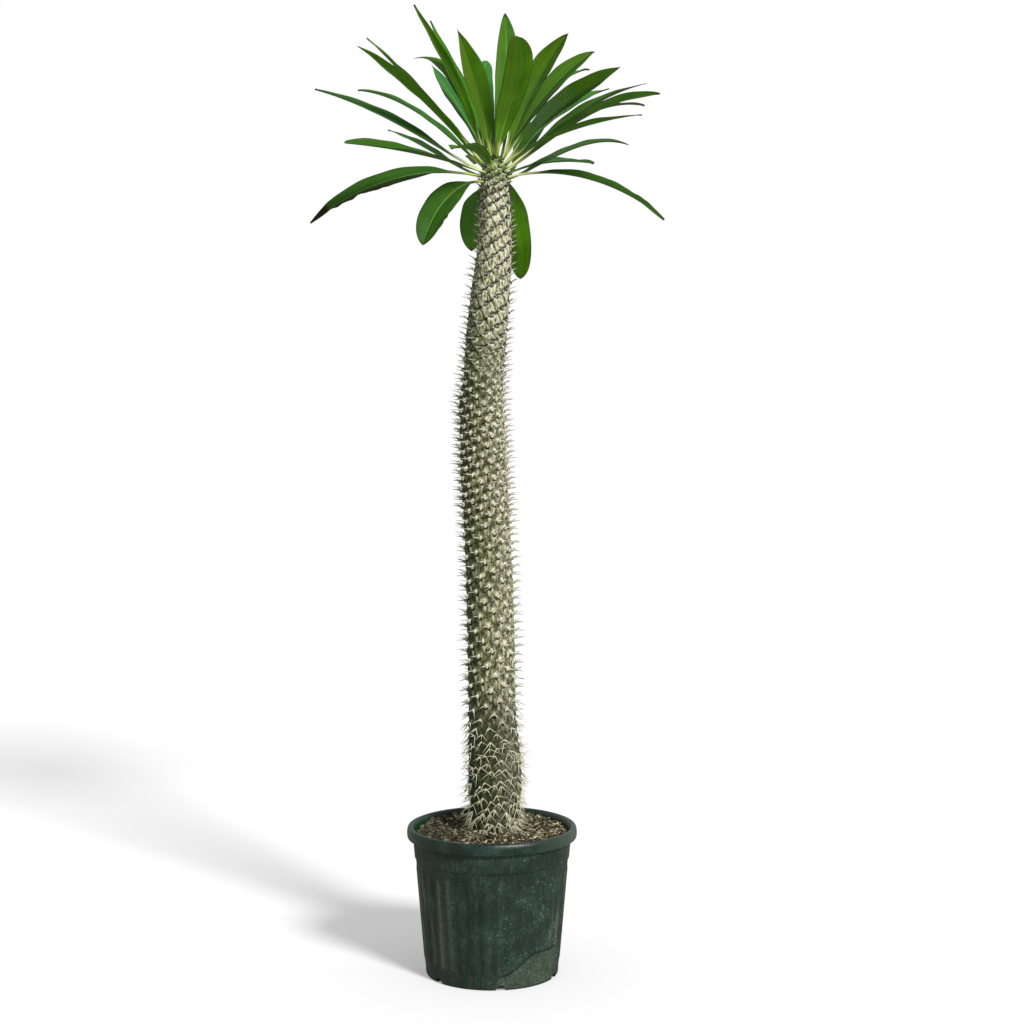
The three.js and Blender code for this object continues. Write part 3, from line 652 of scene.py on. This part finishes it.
# mm from the middle of the nearest tubercle, sideways and up
aside = node("MULTIPLY_ADD", row, growth["rowAside"], node("MULTIPLY", cross, growth["crossAside"]))
aside = node("ADD", node("MULTIPLY", girth, aside), node("MULTIPLY_ADD", grain, 5, -2.5))
upward = node("MULTIPLY_ADD", cross, growth["row"], node("MULTIPLY", row, -growth["cross"]))
upward = node("MULTIPLY", climb, upward)


def spotReach(x, y, halfWide, halfTall):
    # square of the way from a spot near the tubercle's middle, in half sizes of the spot
    sideways = node("DIVIDE", node("SUBTRACT", aside, x), halfWide)
    upwards = node("DIVIDE", node("SUBTRACT", upward, y), halfTall)
    return node("ADD", node("POWER", sideways, 2), node("POWER", upwards, 2))


def spotMask(*spot):
    return node("fade", spotReach(*spot), 0.5, 1.4, 1, 0)


# painted shade: the dark groove runs over each row of spines in the young part, and under it in the old part
scallop = node("MULTIPLY", crossCos, skinPlan["scallop"])
over = node("MULTIPLY_ADD", scaleMask, skinPlan["grooveOver"] + 0.21, -0.27)
grooveAt = node("ADD", node("ADD", row, over), node("MULTIPLY_ADD", grain, 0.16, scallop))
grooveLine = node("fade", node("ABSOLUTE", node("SUBTRACT", grooveAt, 0.08)), 0.028, 0.08, 1, 0)
grooveShow = node("MAXIMUM", scaleMask, node("MULTIPLY", node("fade", grain, 0.42, 0.56), 0.8))
grooveShadeMask = node("MULTIPLY", grooveLine, grooveShow, node("SUBTRACT", 1, oldMask))
# a broken, softer painted shade runs across
crossAt = node("ABSOLUTE", node("MULTIPLY_ADD", grain, 0.12, node("SUBTRACT", cross, 0.06)))
crossShadeMask = node("MULTIPLY", node("fade", crossAt, 0.43, 0.48), scaleMask,
                 node("fade", grain, 0.4, 0.55, 0.35, 0.95))
# short dark cracks, most of them on the sunny side
crack = node("ABSOLUTE", node("SUBTRACT", node("noise", coords, 230, 1, 0.5, 0.8), 0.5))
crackMask = node("MULTIPLY", node("fade", crack, 0.015, 0.045, 1, 0), node("fade", side, -0.4, 0.5, 0.15, 0.75),
                 node("fade", lumps, 0.42, 0.56))
# pale knobs with a painted shadow in the pit under each in the old part, only a dark scar in the young part
knobMask = node("MULTIPLY", spotMask(-0.4, 0.8, 2.8, 3.9), coneMask, node("SUBTRACT", 0.9, oldMask))
pitShadowMask = node("MULTIPLY", spotMask(1.2, -5, 3, 3.4), coneMask)
scarMask = node("MULTIPLY", spotMask(0.6, 0.2, 3.4, 2.5), scaleMask)
darkMask = node("MULTIPLY", node("MAXIMUM", scarMask, pitShadowMask), 0.94)
# the young tubercle's lower rim is a pale smile under its scar
fromSmile = node("ABSOLUTE", node("SUBTRACT", node("SQRT", spotReach(0, 0.5, 6.5, 5.5)), 1))
smile = node("MULTIPLY", node("fade", fromSmile, 0.12, 0.34, 1, 0), node("fade", upward, -1, 1.5, 1, 0),
             scaleMask, node("fade", z, 1.16, 1.28, 0.95, 0.45), node("fade", fibres, 0.36, 0.5, 0.3, 1))
# painted shade darkens the valleys between the cones; the grooves and the pits get painted shade too
skinColour = layered(
    grey, (youngMask, pale), (oldMask, oldSkin), (sunMask, "#EFECD4"), (midBand, "#4E5C34"),
    (newGrowth, "#66802A"), (shadeMask, "#2F4A29"), (node("fade", valley, 0.45, 1, 0, 0.7), "#2E311B"),
    (ridgeMask, "#E6E4C6"), (crossShadeMask, "#26291A"), (node("MULTIPLY", grooveShadeMask, 0.95), "#15170D"),
    (crackMask, "#2B2A16"), (knobMask, "#F0EDDC"), (smile, "#F5F2DC"), (darkMask, "#14150C"))
relief = node("MULTIPLY_ADD", streaks, 2, node("noise", coords, 420, 4))  # with a 2 mm corky grain
relief = node("SUBTRACT", relief, node("MULTIPLY", grooveShadeMask, 1.2))
feed(shader, {"Base Color": skinColour, "Normal": node("bump", relief, 0.8, 0.002)})

addPiece("trunkSkin", makeTrunkSkin(), skinMaterial, "trunk_skin", "trunk")
print("trunk skin done")


# spines
spinePlan = {
    # in the young part, at the foot and in the newest growth; thick is the radius at the root
    "length": (18.5, 27, 12), "thick": (1.45, 0.85, 1.25), "spread": (44, 60, 62),
    "old": (410, 500), "newest": (1325, 1370),  # heights over which they change
    "lean": [(262, -0.85), (450, -0.75), (520, -0.15), (700, 0.05), (900, 0.16), (1080, 0.25), (1200, 0.36),
             (1392, 0.5)],  # slope at heights
    "strayFoot": 5.5,  # how far the lowest tufts leave their places
    "sink": 1.2,
    "lowest": 252, "top": 1416,
    "tufts": 300,  # below this the foot is shaggy
    "areole": (2.5, 3.0, 3.9), "areoleOut": 1.3,  # half width, depth and height of the corky bulb
    "youngAreole": (1040, 1110),  # the bulbs above are small and dark
}


def makeSpineBlank():
    # a five-sided thorn one unit long that stands on z = 0 and bows a little
    bpy.ops.mesh.primitive_cone_add(vertices=5, radius1=1, radius2=0.07, depth=1, location=(0, 0, 0.5))
    spine = bpy.context.object
    bpy.ops.object.transform_apply()
    cutUpright(spine, 2)
    co = coordsOf(spine)
    co[:, 0] += 1.1 * co[:, 2] ** 2  # in root radii, so it stays slight
    setCoords(spine.data, co)
    return spine


def aim(way, bowTo, thick, length):
    # turns the blank thorn along way, bowed towards bowTo
    way = way / np.linalg.norm(way)
    bow = bowTo - way * np.dot(bowTo, way)
    bow /= np.linalg.norm(bow)
    return np.stack([bow * thick, np.cross(way, bow) * thick, way * length], 1) * mm, way


def byAge(name, old, newest):
    young, oldest, youngest = spinePlan[name]
    return lerp(lerp(young, oldest, old), youngest, newest)


def placeSpines():
    draw = random.Random(5)
    thorns, bulbs = [], []
    taken = {seat["cell"] for seat in seats}
    heights, leans = zip(*spinePlan["lean"])
    for i, (z, out) in enumerate(zip(cellZ, cellNormal)):
        if i in taken or not spinePlan["lowest"] <= z <= spinePlan["top"]:
            continue
        side = np.cross((0, 0, 1), out)
        side /= np.linalg.norm(side)
        rise = np.cross(out, side)
        old = 1 - smoothstep(z, *spinePlan["old"])
        newest = smoothstep(z, *spinePlan["newest"])
        dark = smoothstep(z, *spinePlan["youngAreole"])
        size = lerp(0.78, 1, smoothstep(cellRadius[i], 20, 38))
        lean = np.interp(z, heights, leans)
        stray = max(lerp(0.13, 0.45, old), 0.5 * newest)
        canted = draw.uniform(-0.8, 0.8) * old
        place = side * draw.uniform(-1, 1) + rise * draw.uniform(-1, 1)
        place = cellPoint[i] + place * spinePlan["strayFoot"] * old
        spines = [(-1, 1), (1, 1), (0, 0.6)]  # hand and share of the length
        if z < spinePlan["tufts"] or newest > 0.5:
            spines += [(-0.5, 0.9), (0.5, 0.9), (0, 0.8)]
        for hand, share in spines:
            spread = byAge("spread", old, newest) * hand + draw.uniform(-9, 9) * (1 + 1.6 * old)
            spread = math.radians(spread)
            slope = lean + hand * canted + draw.uniform(-stray, stray) + (0 if hand else lerp(0.6, 0.2, old))
            length = byAge("length", old, newest) * draw.uniform(lerp(0.82, 0.6, old), 1.12) * share * size
            thick = byAge("thick", old, newest) * draw.uniform(0.85, 1.15) * (0.85 + 0.15 * size)
            turned, way = aim(out * math.cos(spread) + side * math.sin(spread) + rise * slope, out,
                              thick, length + spinePlan["sink"])
            middle = place + out * 0.6 + side * hand * 1.3 - way * spinePlan["sink"]
            thorns.append((turned, middle * mm, old, max(newest, 0.2 * dark)))
        half = np.array(spinePlan["areole"]) * lerp(lerp(1, 0.62, dark), 0.42, old) * draw.uniform(0.85, 1.12)
        tilted = rise + out * 0.25
        tilted /= np.linalg.norm(tilted)
        turned = np.stack([side * half[0], np.cross(side, tilted) * -half[1], tilted * half[2]], 1)
        middle = place - rise * 0.8 + out * spinePlan["areoleOut"] * lerp(1, 0.3, old)
        bulbs.append((turned * mm, middle * mm, old, dark))
    return thorns, bulbs


# Dry thorn: hard and slightly glossy, bone grey at the root and dark brown at the point.
spineMaterial, tree, shader = newMaterial("Dry thorn", Roughness=0.5, IOR=1.5)
along, age, fresh = (node("attribute", name) for name in ("along", "age", "fresh"))
bone = node("ramp", along, (0, "#F8F6EA"), (0.4, "#DBD6C2"), (0.68, "#938D79"), (1, "#2E2A25"))
bleached = node("ramp", along, (0, "#E4E3C8"), (0.55, "#D2D2B0"), (1, "#948E6C"))
dark = node("ramp", along, (0, "#A8A28A"), (0.3, "#565042"), (1, "#26221C"))
feed(shader, {"Base Color": layered(bone, (age, bleached), (fresh, dark))})

# Corky areole: a dry matt bulb of bleached cork under each group of spines.
areoleMaterial, tree, shader = newMaterial("Bleached cork", Roughness=0.85, IOR=1.4)
age, scarred = (node("attribute", name) for name in ("age", "scarred"))
grain = node("noise", node("object"), 400, 4)
corkPale = node("ramp", grain, (0.3, "#B5AF96"), (0.5, "#DEDAC6"), (0.7, "#F2EFE2"))
corkOld = node("ramp", grain, (0.3, "#605A3C"), (0.7, "#A39B70"))
feed(shader, {"Base Color": layered(corkPale, (age, corkOld), (node("MULTIPLY", scarred, 0.85), "#2F2C20"))})

thorns, bulbs = placeSpines()
spineBlank = makeSpineBlank()
alongThorn = coordsOf(spineBlank)[:, 2]
spineMesh = manyCopies(spineBlank, thorns, "age", "fresh")
addAttributes(spineMesh, along=np.tile(alongThorn, len(thorns)))
bpy.ops.mesh.primitive_ico_sphere_add(subdivisions=2, radius=1)
bulbMesh = manyCopies(bpy.context.object, bulbs, "age", "scarred")
for name, mesh, material in (("spines", spineMesh, spineMaterial), ("areoles", bulbMesh, areoleMaterial)):
    mesh.shade_smooth()
    addPiece(name, mesh, material, "trunk_skin", "trunk")
print(len(thorns), "spines set")


# potting mix
mixPlan = {
    "chips": 2900,
    "long": (4, 15), "wide": (1.5, 4.8), "thick": (0.9, 2.4),
    "inner": 41, "outer": 133.8,
    "height": 251, "mound": 7, "heaped": 7, "rough": 1.8,  # heaped towards the back
    "bottom": 247,
    "pale": 0.02,  # share of the chips
}


def mixTop(x, y):
    flat = zip(np.ravel(x), np.ravel(y))
    rough = np.array([noise.noise(Vector((a, b, 0)) * 0.055) for a, b in flat]).reshape(np.shape(x))
    mound = mixPlan["mound"] * (1 - smoothstep(np.hypot(x, y), 40, 90))
    return mixPlan["height"] + mound + mixPlan["heaped"] * smoothstep(y, 0, 125) + mixPlan["rough"] * rough


def makeMulch():
    # a flat ring of compost between the trunk and the pot's wall
    major, minor = (mixPlan["outer"] + mixPlan["inner"] - 4) / 2, (mixPlan["outer"] - mixPlan["inner"] + 4) / 2
    bpy.ops.mesh.primitive_torus_add(major_segments=180, minor_segments=36,
                                     major_radius=major, minor_radius=minor)
    ring = bpy.context.object
    co = coordsOf(ring)
    rise = np.clip(co[:, 2] / minor, -1, 1)
    top = mixTop(co[:, 0], co[:, 1])
    half = (top - mixPlan["bottom"]) / 2
    co[:, 2] = top - half + half * np.sign(rise) * np.abs(rise) ** 0.25
    setCoords(ring.data, co * mm)
    ring.data.shade_smooth()
    return takeMesh(ring)


def makeChipBlank():
    # a splinter of bark with broken corners
    bpy.ops.mesh.primitive_cube_add(size=1)
    chip = bpy.context.object
    applyModifier(chip, "BEVEL", width=0.16, segments=1)
    co = coordsOf(chip)
    co += np.random.default_rng(3).uniform(-0.07, 0.07, co.shape)
    co[:, 1] *= 1 - 0.5 * co[:, 0]
    setCoords(chip.data, co)
    return chip


def placeChips():
    draw = random.Random(11)
    chips = []
    for _ in range(mixPlan["chips"]):
        radius = math.sqrt(draw.uniform(mixPlan["inner"] ** 2, mixPlan["outer"] ** 2))
        angle = draw.uniform(0, math.tau)
        size = draw.random() ** 1.8
        sides = [lerp(*mixPlan[k], size * draw.uniform(0.55, 1)) for k in ("long", "wide", "thick")]
        yaw = draw.uniform(0, math.pi)
        pitch, roll = (math.radians(draw.gauss(0, spread)) for spread in (17, 25))
        turned = np.array(Euler((roll, pitch, yaw)).to_matrix()) @ np.diag(sides)
        radius = min(radius, mixPlan["outer"] - sides[0] * 0.3)
        x = math.cos(angle) * radius + 5 * (1 - smoothstep(radius, 45, 90))
        y = math.sin(angle) * radius
        middle = np.array([x, y, float(mixTop(x, y)) + draw.uniform(-0.4, 1.8)])
        tone = 1 if draw.random() < mixPlan["pale"] else min(max(draw.gauss(0.5, 0.24), 0), 0.88)
        chips.append((turned * mm, middle * mm, tone))
    return chips


# Pine bark and wood fibre: dull, fibrous, from cream and tan to nearly black, with a few grains of pumice.
barkMaterial, tree, shader = newMaterial("Pine bark chips", Roughness=0.9, IOR=1.4)
coords = node("object")
fibre = node("noise", coords, 500, 3)  # 2 mm
barkTone = node("SUBTRACT", node("MULTIPLY_ADD", fibre, 0.22, node("attribute", "tone")), 0.11)
bark = node("ramp", barkTone, (0.05, "#191810"), (0.3, "#383422"), (0.52, "#6E6446"), (0.7, "#968A68"),
            (0.86, "#C2B796"), (0.98, "#ECE8DA"))
# painted shade and moss: darker and greener on the left, where the trunk shades the mix
shadeAndMossMask = node("fade", node("split", coords)[0], -0.11, 0.04, 0.6, 0)
feed(shader, {"Base Color": node("blend", shadeAndMossMask, bark, "#22291A"),
              "Normal": node("bump", fibre, 0.5, 0.0006)})

# Damp compost between the chips: dark brown, crumbly.
soilMaterial, tree, shader = newMaterial("Damp compost", Roughness=0.95, IOR=1.35)
crumbs = node("noise", node("object"), 240, 6, 0.7)  # 4 mm crumbs
compost = node("ramp", crumbs, (0.3, "#17150E"), (0.5, "#312C1E"), (0.7, "#62573D"))
feed(shader, {"Base Color": compost, "Normal": node("bump", crumbs, 1, 0.003)})

chips = placeChips()
addPiece("barkChips", manyCopies(makeChipBlank(), chips, "tone"), barkMaterial, "potting_mix")
addPiece("mulch", makeMulch(), soilMaterial, "potting_mix")
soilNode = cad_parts["soil"]
soilNode.data.materials.clear()
soilNode.data.materials.append(soilMaterial)
print(len(chips), "bark chips laid")


# pot
potPlan = {
    "columns": 288,
    # radius and height of the wall outside, over the rim and down inside, and the rows to reach them
    "outside": [(116, 0.7, 1), (117.3, 3.2, 1), (118, 16, 6), (119.2, 26, 5), (122.5, 66, 20), (133.6, 198, 16),
                (134.4, 205, 2), (134.8, 208, 1), (136.2, 209.3, 1), (136.8, 211.5, 1), (139.3, 240, 5),
                (139.9, 243, 1), (146.2, 243.8, 1), (148.9, 245.4, 1), (150, 248.6, 1), (150.1, 256, 2),
                (149.3, 261.2, 1), (147.6, 264, 1), (144.8, 265.2, 1), (141.6, 264.9, 1), (139.2, 263.3, 1),
                (137.4, 259.6, 1), (135.5, 240, 3), (114.5, 3, 10)],
    "foot": 112,
    "flutes": 36, "fluteDepth": 1.1,
    "drains": 6, "drainFirst": -142, "drainWidth": 18, "drainHeight": 9,
    "fluteFoot": (22, 34), "fluteHead": (190, 200),
    # the field pressed in low on the right: sides in degrees from the front, foot, and climbing upper edge
    "dentDepth": 1.4, "dentLeft": (5, 9), "dentRight": (62, 72), "dentFoot": (2, 8),
    "dentTop": (24, 61), "dentClimb": (6, 42), "lipHalf": 2.2,
}


def makePot():
    radius, z = potPlan["foot"], 0
    bpy.ops.mesh.primitive_circle_add(vertices=potPlan["columns"], radius=radius * mm, fill_type="NGON")
    pot = bpy.context.object
    bpy.ops.object.mode_set(mode="EDIT")
    bpy.ops.mesh.select_all(action="SELECT")
    for toRadius, toZ, steps in potPlan["outside"]:
        fromRadius, fromZ = radius, z
        for step in range(1, steps + 1):
            nextRadius, nextZ = lerp(fromRadius, toRadius, step / steps), lerp(fromZ, toZ, step / steps)
            bpy.ops.mesh.extrude_region_move(TRANSFORM_OT_translate={"value": (0, 0, (nextZ - z) * mm)})
            bpy.ops.transform.resize(value=(nextRadius / radius, nextRadius / radius, 1))
            radius, z = nextRadius, nextZ
    bpy.ops.mesh.select_all(action="SELECT")
    bpy.ops.mesh.normals_make_consistent(inside=False)
    bpy.ops.object.mode_set(mode="OBJECT")

    # flutes on the outer wall, and the pressed-in field over the right drain
    x, y, z = (coordsOf(pot) / mm).T
    angle, reach = np.arctan2(y, x), np.hypot(x, y)
    outer = reach > lerp(116, 134.2, np.clip((z - 3) / 237, 0, 1)) + 0.4
    fromFront = np.degrees(angle) + 90
    dentTop = lerp(*potPlan["dentTop"], smoothstep(fromFront, *potPlan["dentClimb"]))
    dentRight = 1 - smoothstep(fromFront, *potPlan["dentRight"])
    dent = (1 - smoothstep(z, dentTop - 1.5, dentTop + 1)) * smoothstep(z, *potPlan["dentFoot"])
    dent *= smoothstep(fromFront, *potPlan["dentLeft"]) * dentRight
    flute = smoothstep(z, *potPlan["fluteFoot"]) * (1 - smoothstep(z, *potPlan["fluteHead"])) * (1 - dent)
    ribs = np.cos(potPlan["flutes"] * angle)
    shift = outer * (-flute * potPlan["fluteDepth"] * ribs - dent * potPlan["dentDepth"])
    wider = (reach + shift) / np.maximum(reach, 1)
    setCoords(pot.data, np.stack([x * wider, y * wider, z], 1) * mm)
    # painted shadow along the lip at the top of the pressed-in field
    lip = np.exp(-((z - dentTop) / potPlan["lipHalf"]) ** 2) * smoothstep(fromFront, 5, 12) * dentRight
    addAttributes(pot.data, rubbed=dent * outer, lip=lip * outer, flute=outer * flute * (0.5 - 0.5 * ribs))

    # arched drain notches round the foot
    for i in range(potPlan["drains"]):
        a = math.radians(potPlan["drainFirst"] + i * 360 / potPlan["drains"])
        bpy.ops.mesh.primitive_cylinder_add(vertices=24, radius=potPlan["drainWidth"] / 2 * mm, depth=0.03)
        cutter = bpy.context.object
        x, y, z = coordsOf(cutter).T
        reach, z = z + 0.118, y * potPlan["drainHeight"] / (potPlan["drainWidth"] / 2)
        co = [reach * math.cos(a) - x * math.sin(a), reach * math.sin(a) + x * math.cos(a), z]
        setCoords(cutter.data, np.stack(co, 1))
        applyModifier(pot, "BOOLEAN", object=cutter, operation="DIFFERENCE", solver="EXACT")
        bpy.data.objects.remove(cutter)
    return takeMesh(pot)


# Moulded polypropylene, dark green: satin rim with painted light and a painted green sheen, and a wall dulled
# by handling, lime, dust and dried soil, with painted highlights on the side flutes and a painted shadow under
# the lip of the pressed-in field.
potMaterial, tree, shader = newMaterial("Moulded polypropylene", IOR=1.45)
rubbed, lip, flute = (node("attribute", name) for name in ("rubbed", "lip", "flute"))
coords = node("object")
x, _, z = node("split", coords)
upright = node("stretch", coords, (1, 1, 0.14))
toRight = node("fade", x, -0.11, 0.11)
broad = node("noise", coords, 17, 6, 0.65)  # 60 mm clouds
fine = node("noise", coords, 210, 6, 0.75)  # 5 mm specks
wallTone = node("MULTIPLY_ADD", fine, 0.5, node("MULTIPLY", broad, 0.5))
wall = node("ramp", wallTone, (0.38, "#0B1D15"), (0.5, "#172E24"), (0.62, "#2A4438"))
# scuffs run up the wall, wandering scratches lie over them
scuffs = node("noise", upright, 200, 4, 0.6)
scratch = node("ABSOLUTE", node("SUBTRACT", node("noise", coords, 75, 4, 0.6, 1.4), 0.5))
scratchMask = node("MULTIPLY", node("fade", scratch, 0.004, 0.016, 1, 0), node("fade", broad, 0.46, 0.62),
                   node("MULTIPLY_ADD", toRight, 0.4, 0.2), node("fade", fine, 0.42, 0.62, 0.2, 1))
# dried soil low down and on the left
dirt = node("noise", upright, 30, 7, 0.7)
dirtHeight = node("range", z, 0, 0.16, 0, -0.12)
dirtField = node("ADD", dirt, node("SUBTRACT", dirtHeight, node("MULTIPLY", toRight, 0.1)))
# lime splashes, 2 to 4 mm, thickest on the right
limeField = node("MULTIPLY_ADD", broad, 0.3, node("noise", coords, 360, 3, 0.55))
limeField = node("ADD", limeField, node("MULTIPLY", toRight, 0.06))
rubbedMask = node("MULTIPLY", rubbed, node("fade", fine, 0.38, 0.62, 0.15, 0.6))
# brown dust and painted highlights on the raised ribs of the flutes at the sides
atSides = node("MAXIMUM", node("fade", x, -0.115, -0.05, 0.42, 0), node("fade", x, 0.09, 0.115, 0, 0.35))
dustAndHighlightMask = node("MULTIPLY", node("fade", flute, 0.4, 0.95), node("fade", dirt, 0.42, 0.58), atSides)
# painted shadow: a dark line under the lip over the pressed-in field
wall = layered(
    wall, (node("fade", scuffs, 0.54, 0.74, 0, 0.3), "#4F604E"), (scratchMask, "#98A898"),
    (node("fade", dirtField, 0.42, 0.66, 0, 0.6), "#3D3F31"),
    (node("fade", limeField, 0.87, 0.93, 0, 0.75), "#AEBCA8"),
    (rubbedMask, "#525F4B"), (dustAndHighlightMask, "#8A8870"), (lip, "#050C08"))
rimMask = node("fade", z, 0.2435, 0.2465)
rimTone = node("MULTIPLY_ADD", fine, 0.35, node("MULTIPLY", broad, 0.65))
# painted light: the rim is lighter towards the right, where the sun falls, and a painted green sheen lies on
# its left end
rim = layered(
    node("ramp", rimTone, (0.38, "#081611"), (0.5, "#12271F"), (0.62, "#2B413C")),
    (node("fade", x, 0.06, 0.14, 0, 0.3), "#5C705C"), (node("fade", x, -0.15, -0.06, 0.5, 0), "#0C472D"))
wallRough = node("range", scuffs, 0.3, 0.7, 0.45, 0.68)
relief = node("bump", node("ADD", scuffs, node("MULTIPLY", fine, 0.8)), 0.5, 0.0009)
feed(shader, {"Base Color": node("blend", rimMask, wall, rim), "Normal": relief,
              "Roughness": node("blendNumber", rimMask, wallRough, 0.34)})

pot = addPiece("potShell", makePot(), potMaterial, "pot_plastic", "pot")
deselectAll()
pot.select_set(True)
bpy.context.view_layer.objects.active = pot
bpy.ops.object.shade_smooth_by_angle(angle=math.radians(35))
print("pot moulded")


# floor and light
studio = {
    "floor": "#F0F0F0", "bounce": "#A8A89C", "glow": 0.2,  # the floor throws back less light than it shows
    "keyPower": 2.9, "keyFrom": (1.7, -2.5, 2.1), "keyAngle": 12,
    "sky": 0.44, "backdrop": 1.0,
}
deselectAll()
bpy.ops.mesh.primitive_circle_add(vertices=96, radius=60, fill_type="NGON")
floor = bpy.context.object
floor.name = "floor"
floorMaterial, tree, shader = newMaterial("Matt studio floor", Roughness=0.9)
seen = node("seen")
feed(shader, {"Base Color": node("blend", seen, studio["bounce"], studio["floor"]),
              "Emission Color": "#FFFFFF", "Emission Strength": node("MULTIPLY", seen, studio["glow"])})
floor.data.materials.append(floorMaterial)

# one soft light from high on the front right, the sky fills the rest
bpy.ops.object.light_add(type="SUN", location=studio["keyFrom"])
key = bpy.context.object
key.name = "keyLight"
key.data.energy = studio["keyPower"]
key.data.angle = math.radians(studio["keyAngle"])
key.rotation_euler = Vector(studio["keyFrom"]).to_track_quat("Z", "Y").to_euler()

world = bpy.data.worlds.new("studio")
bpy.context.scene.world = world
world.use_nodes = True
tree = world.node_tree
glow = node("blendNumber", node("seen"), studio["sky"], studio["backdrop"])
feed(tree.nodes["Background"], {"Color": "#FFFFFF", "Strength": glow})
bpy.context.scene.view_settings.view_transform = "Standard"
print("studio lit")
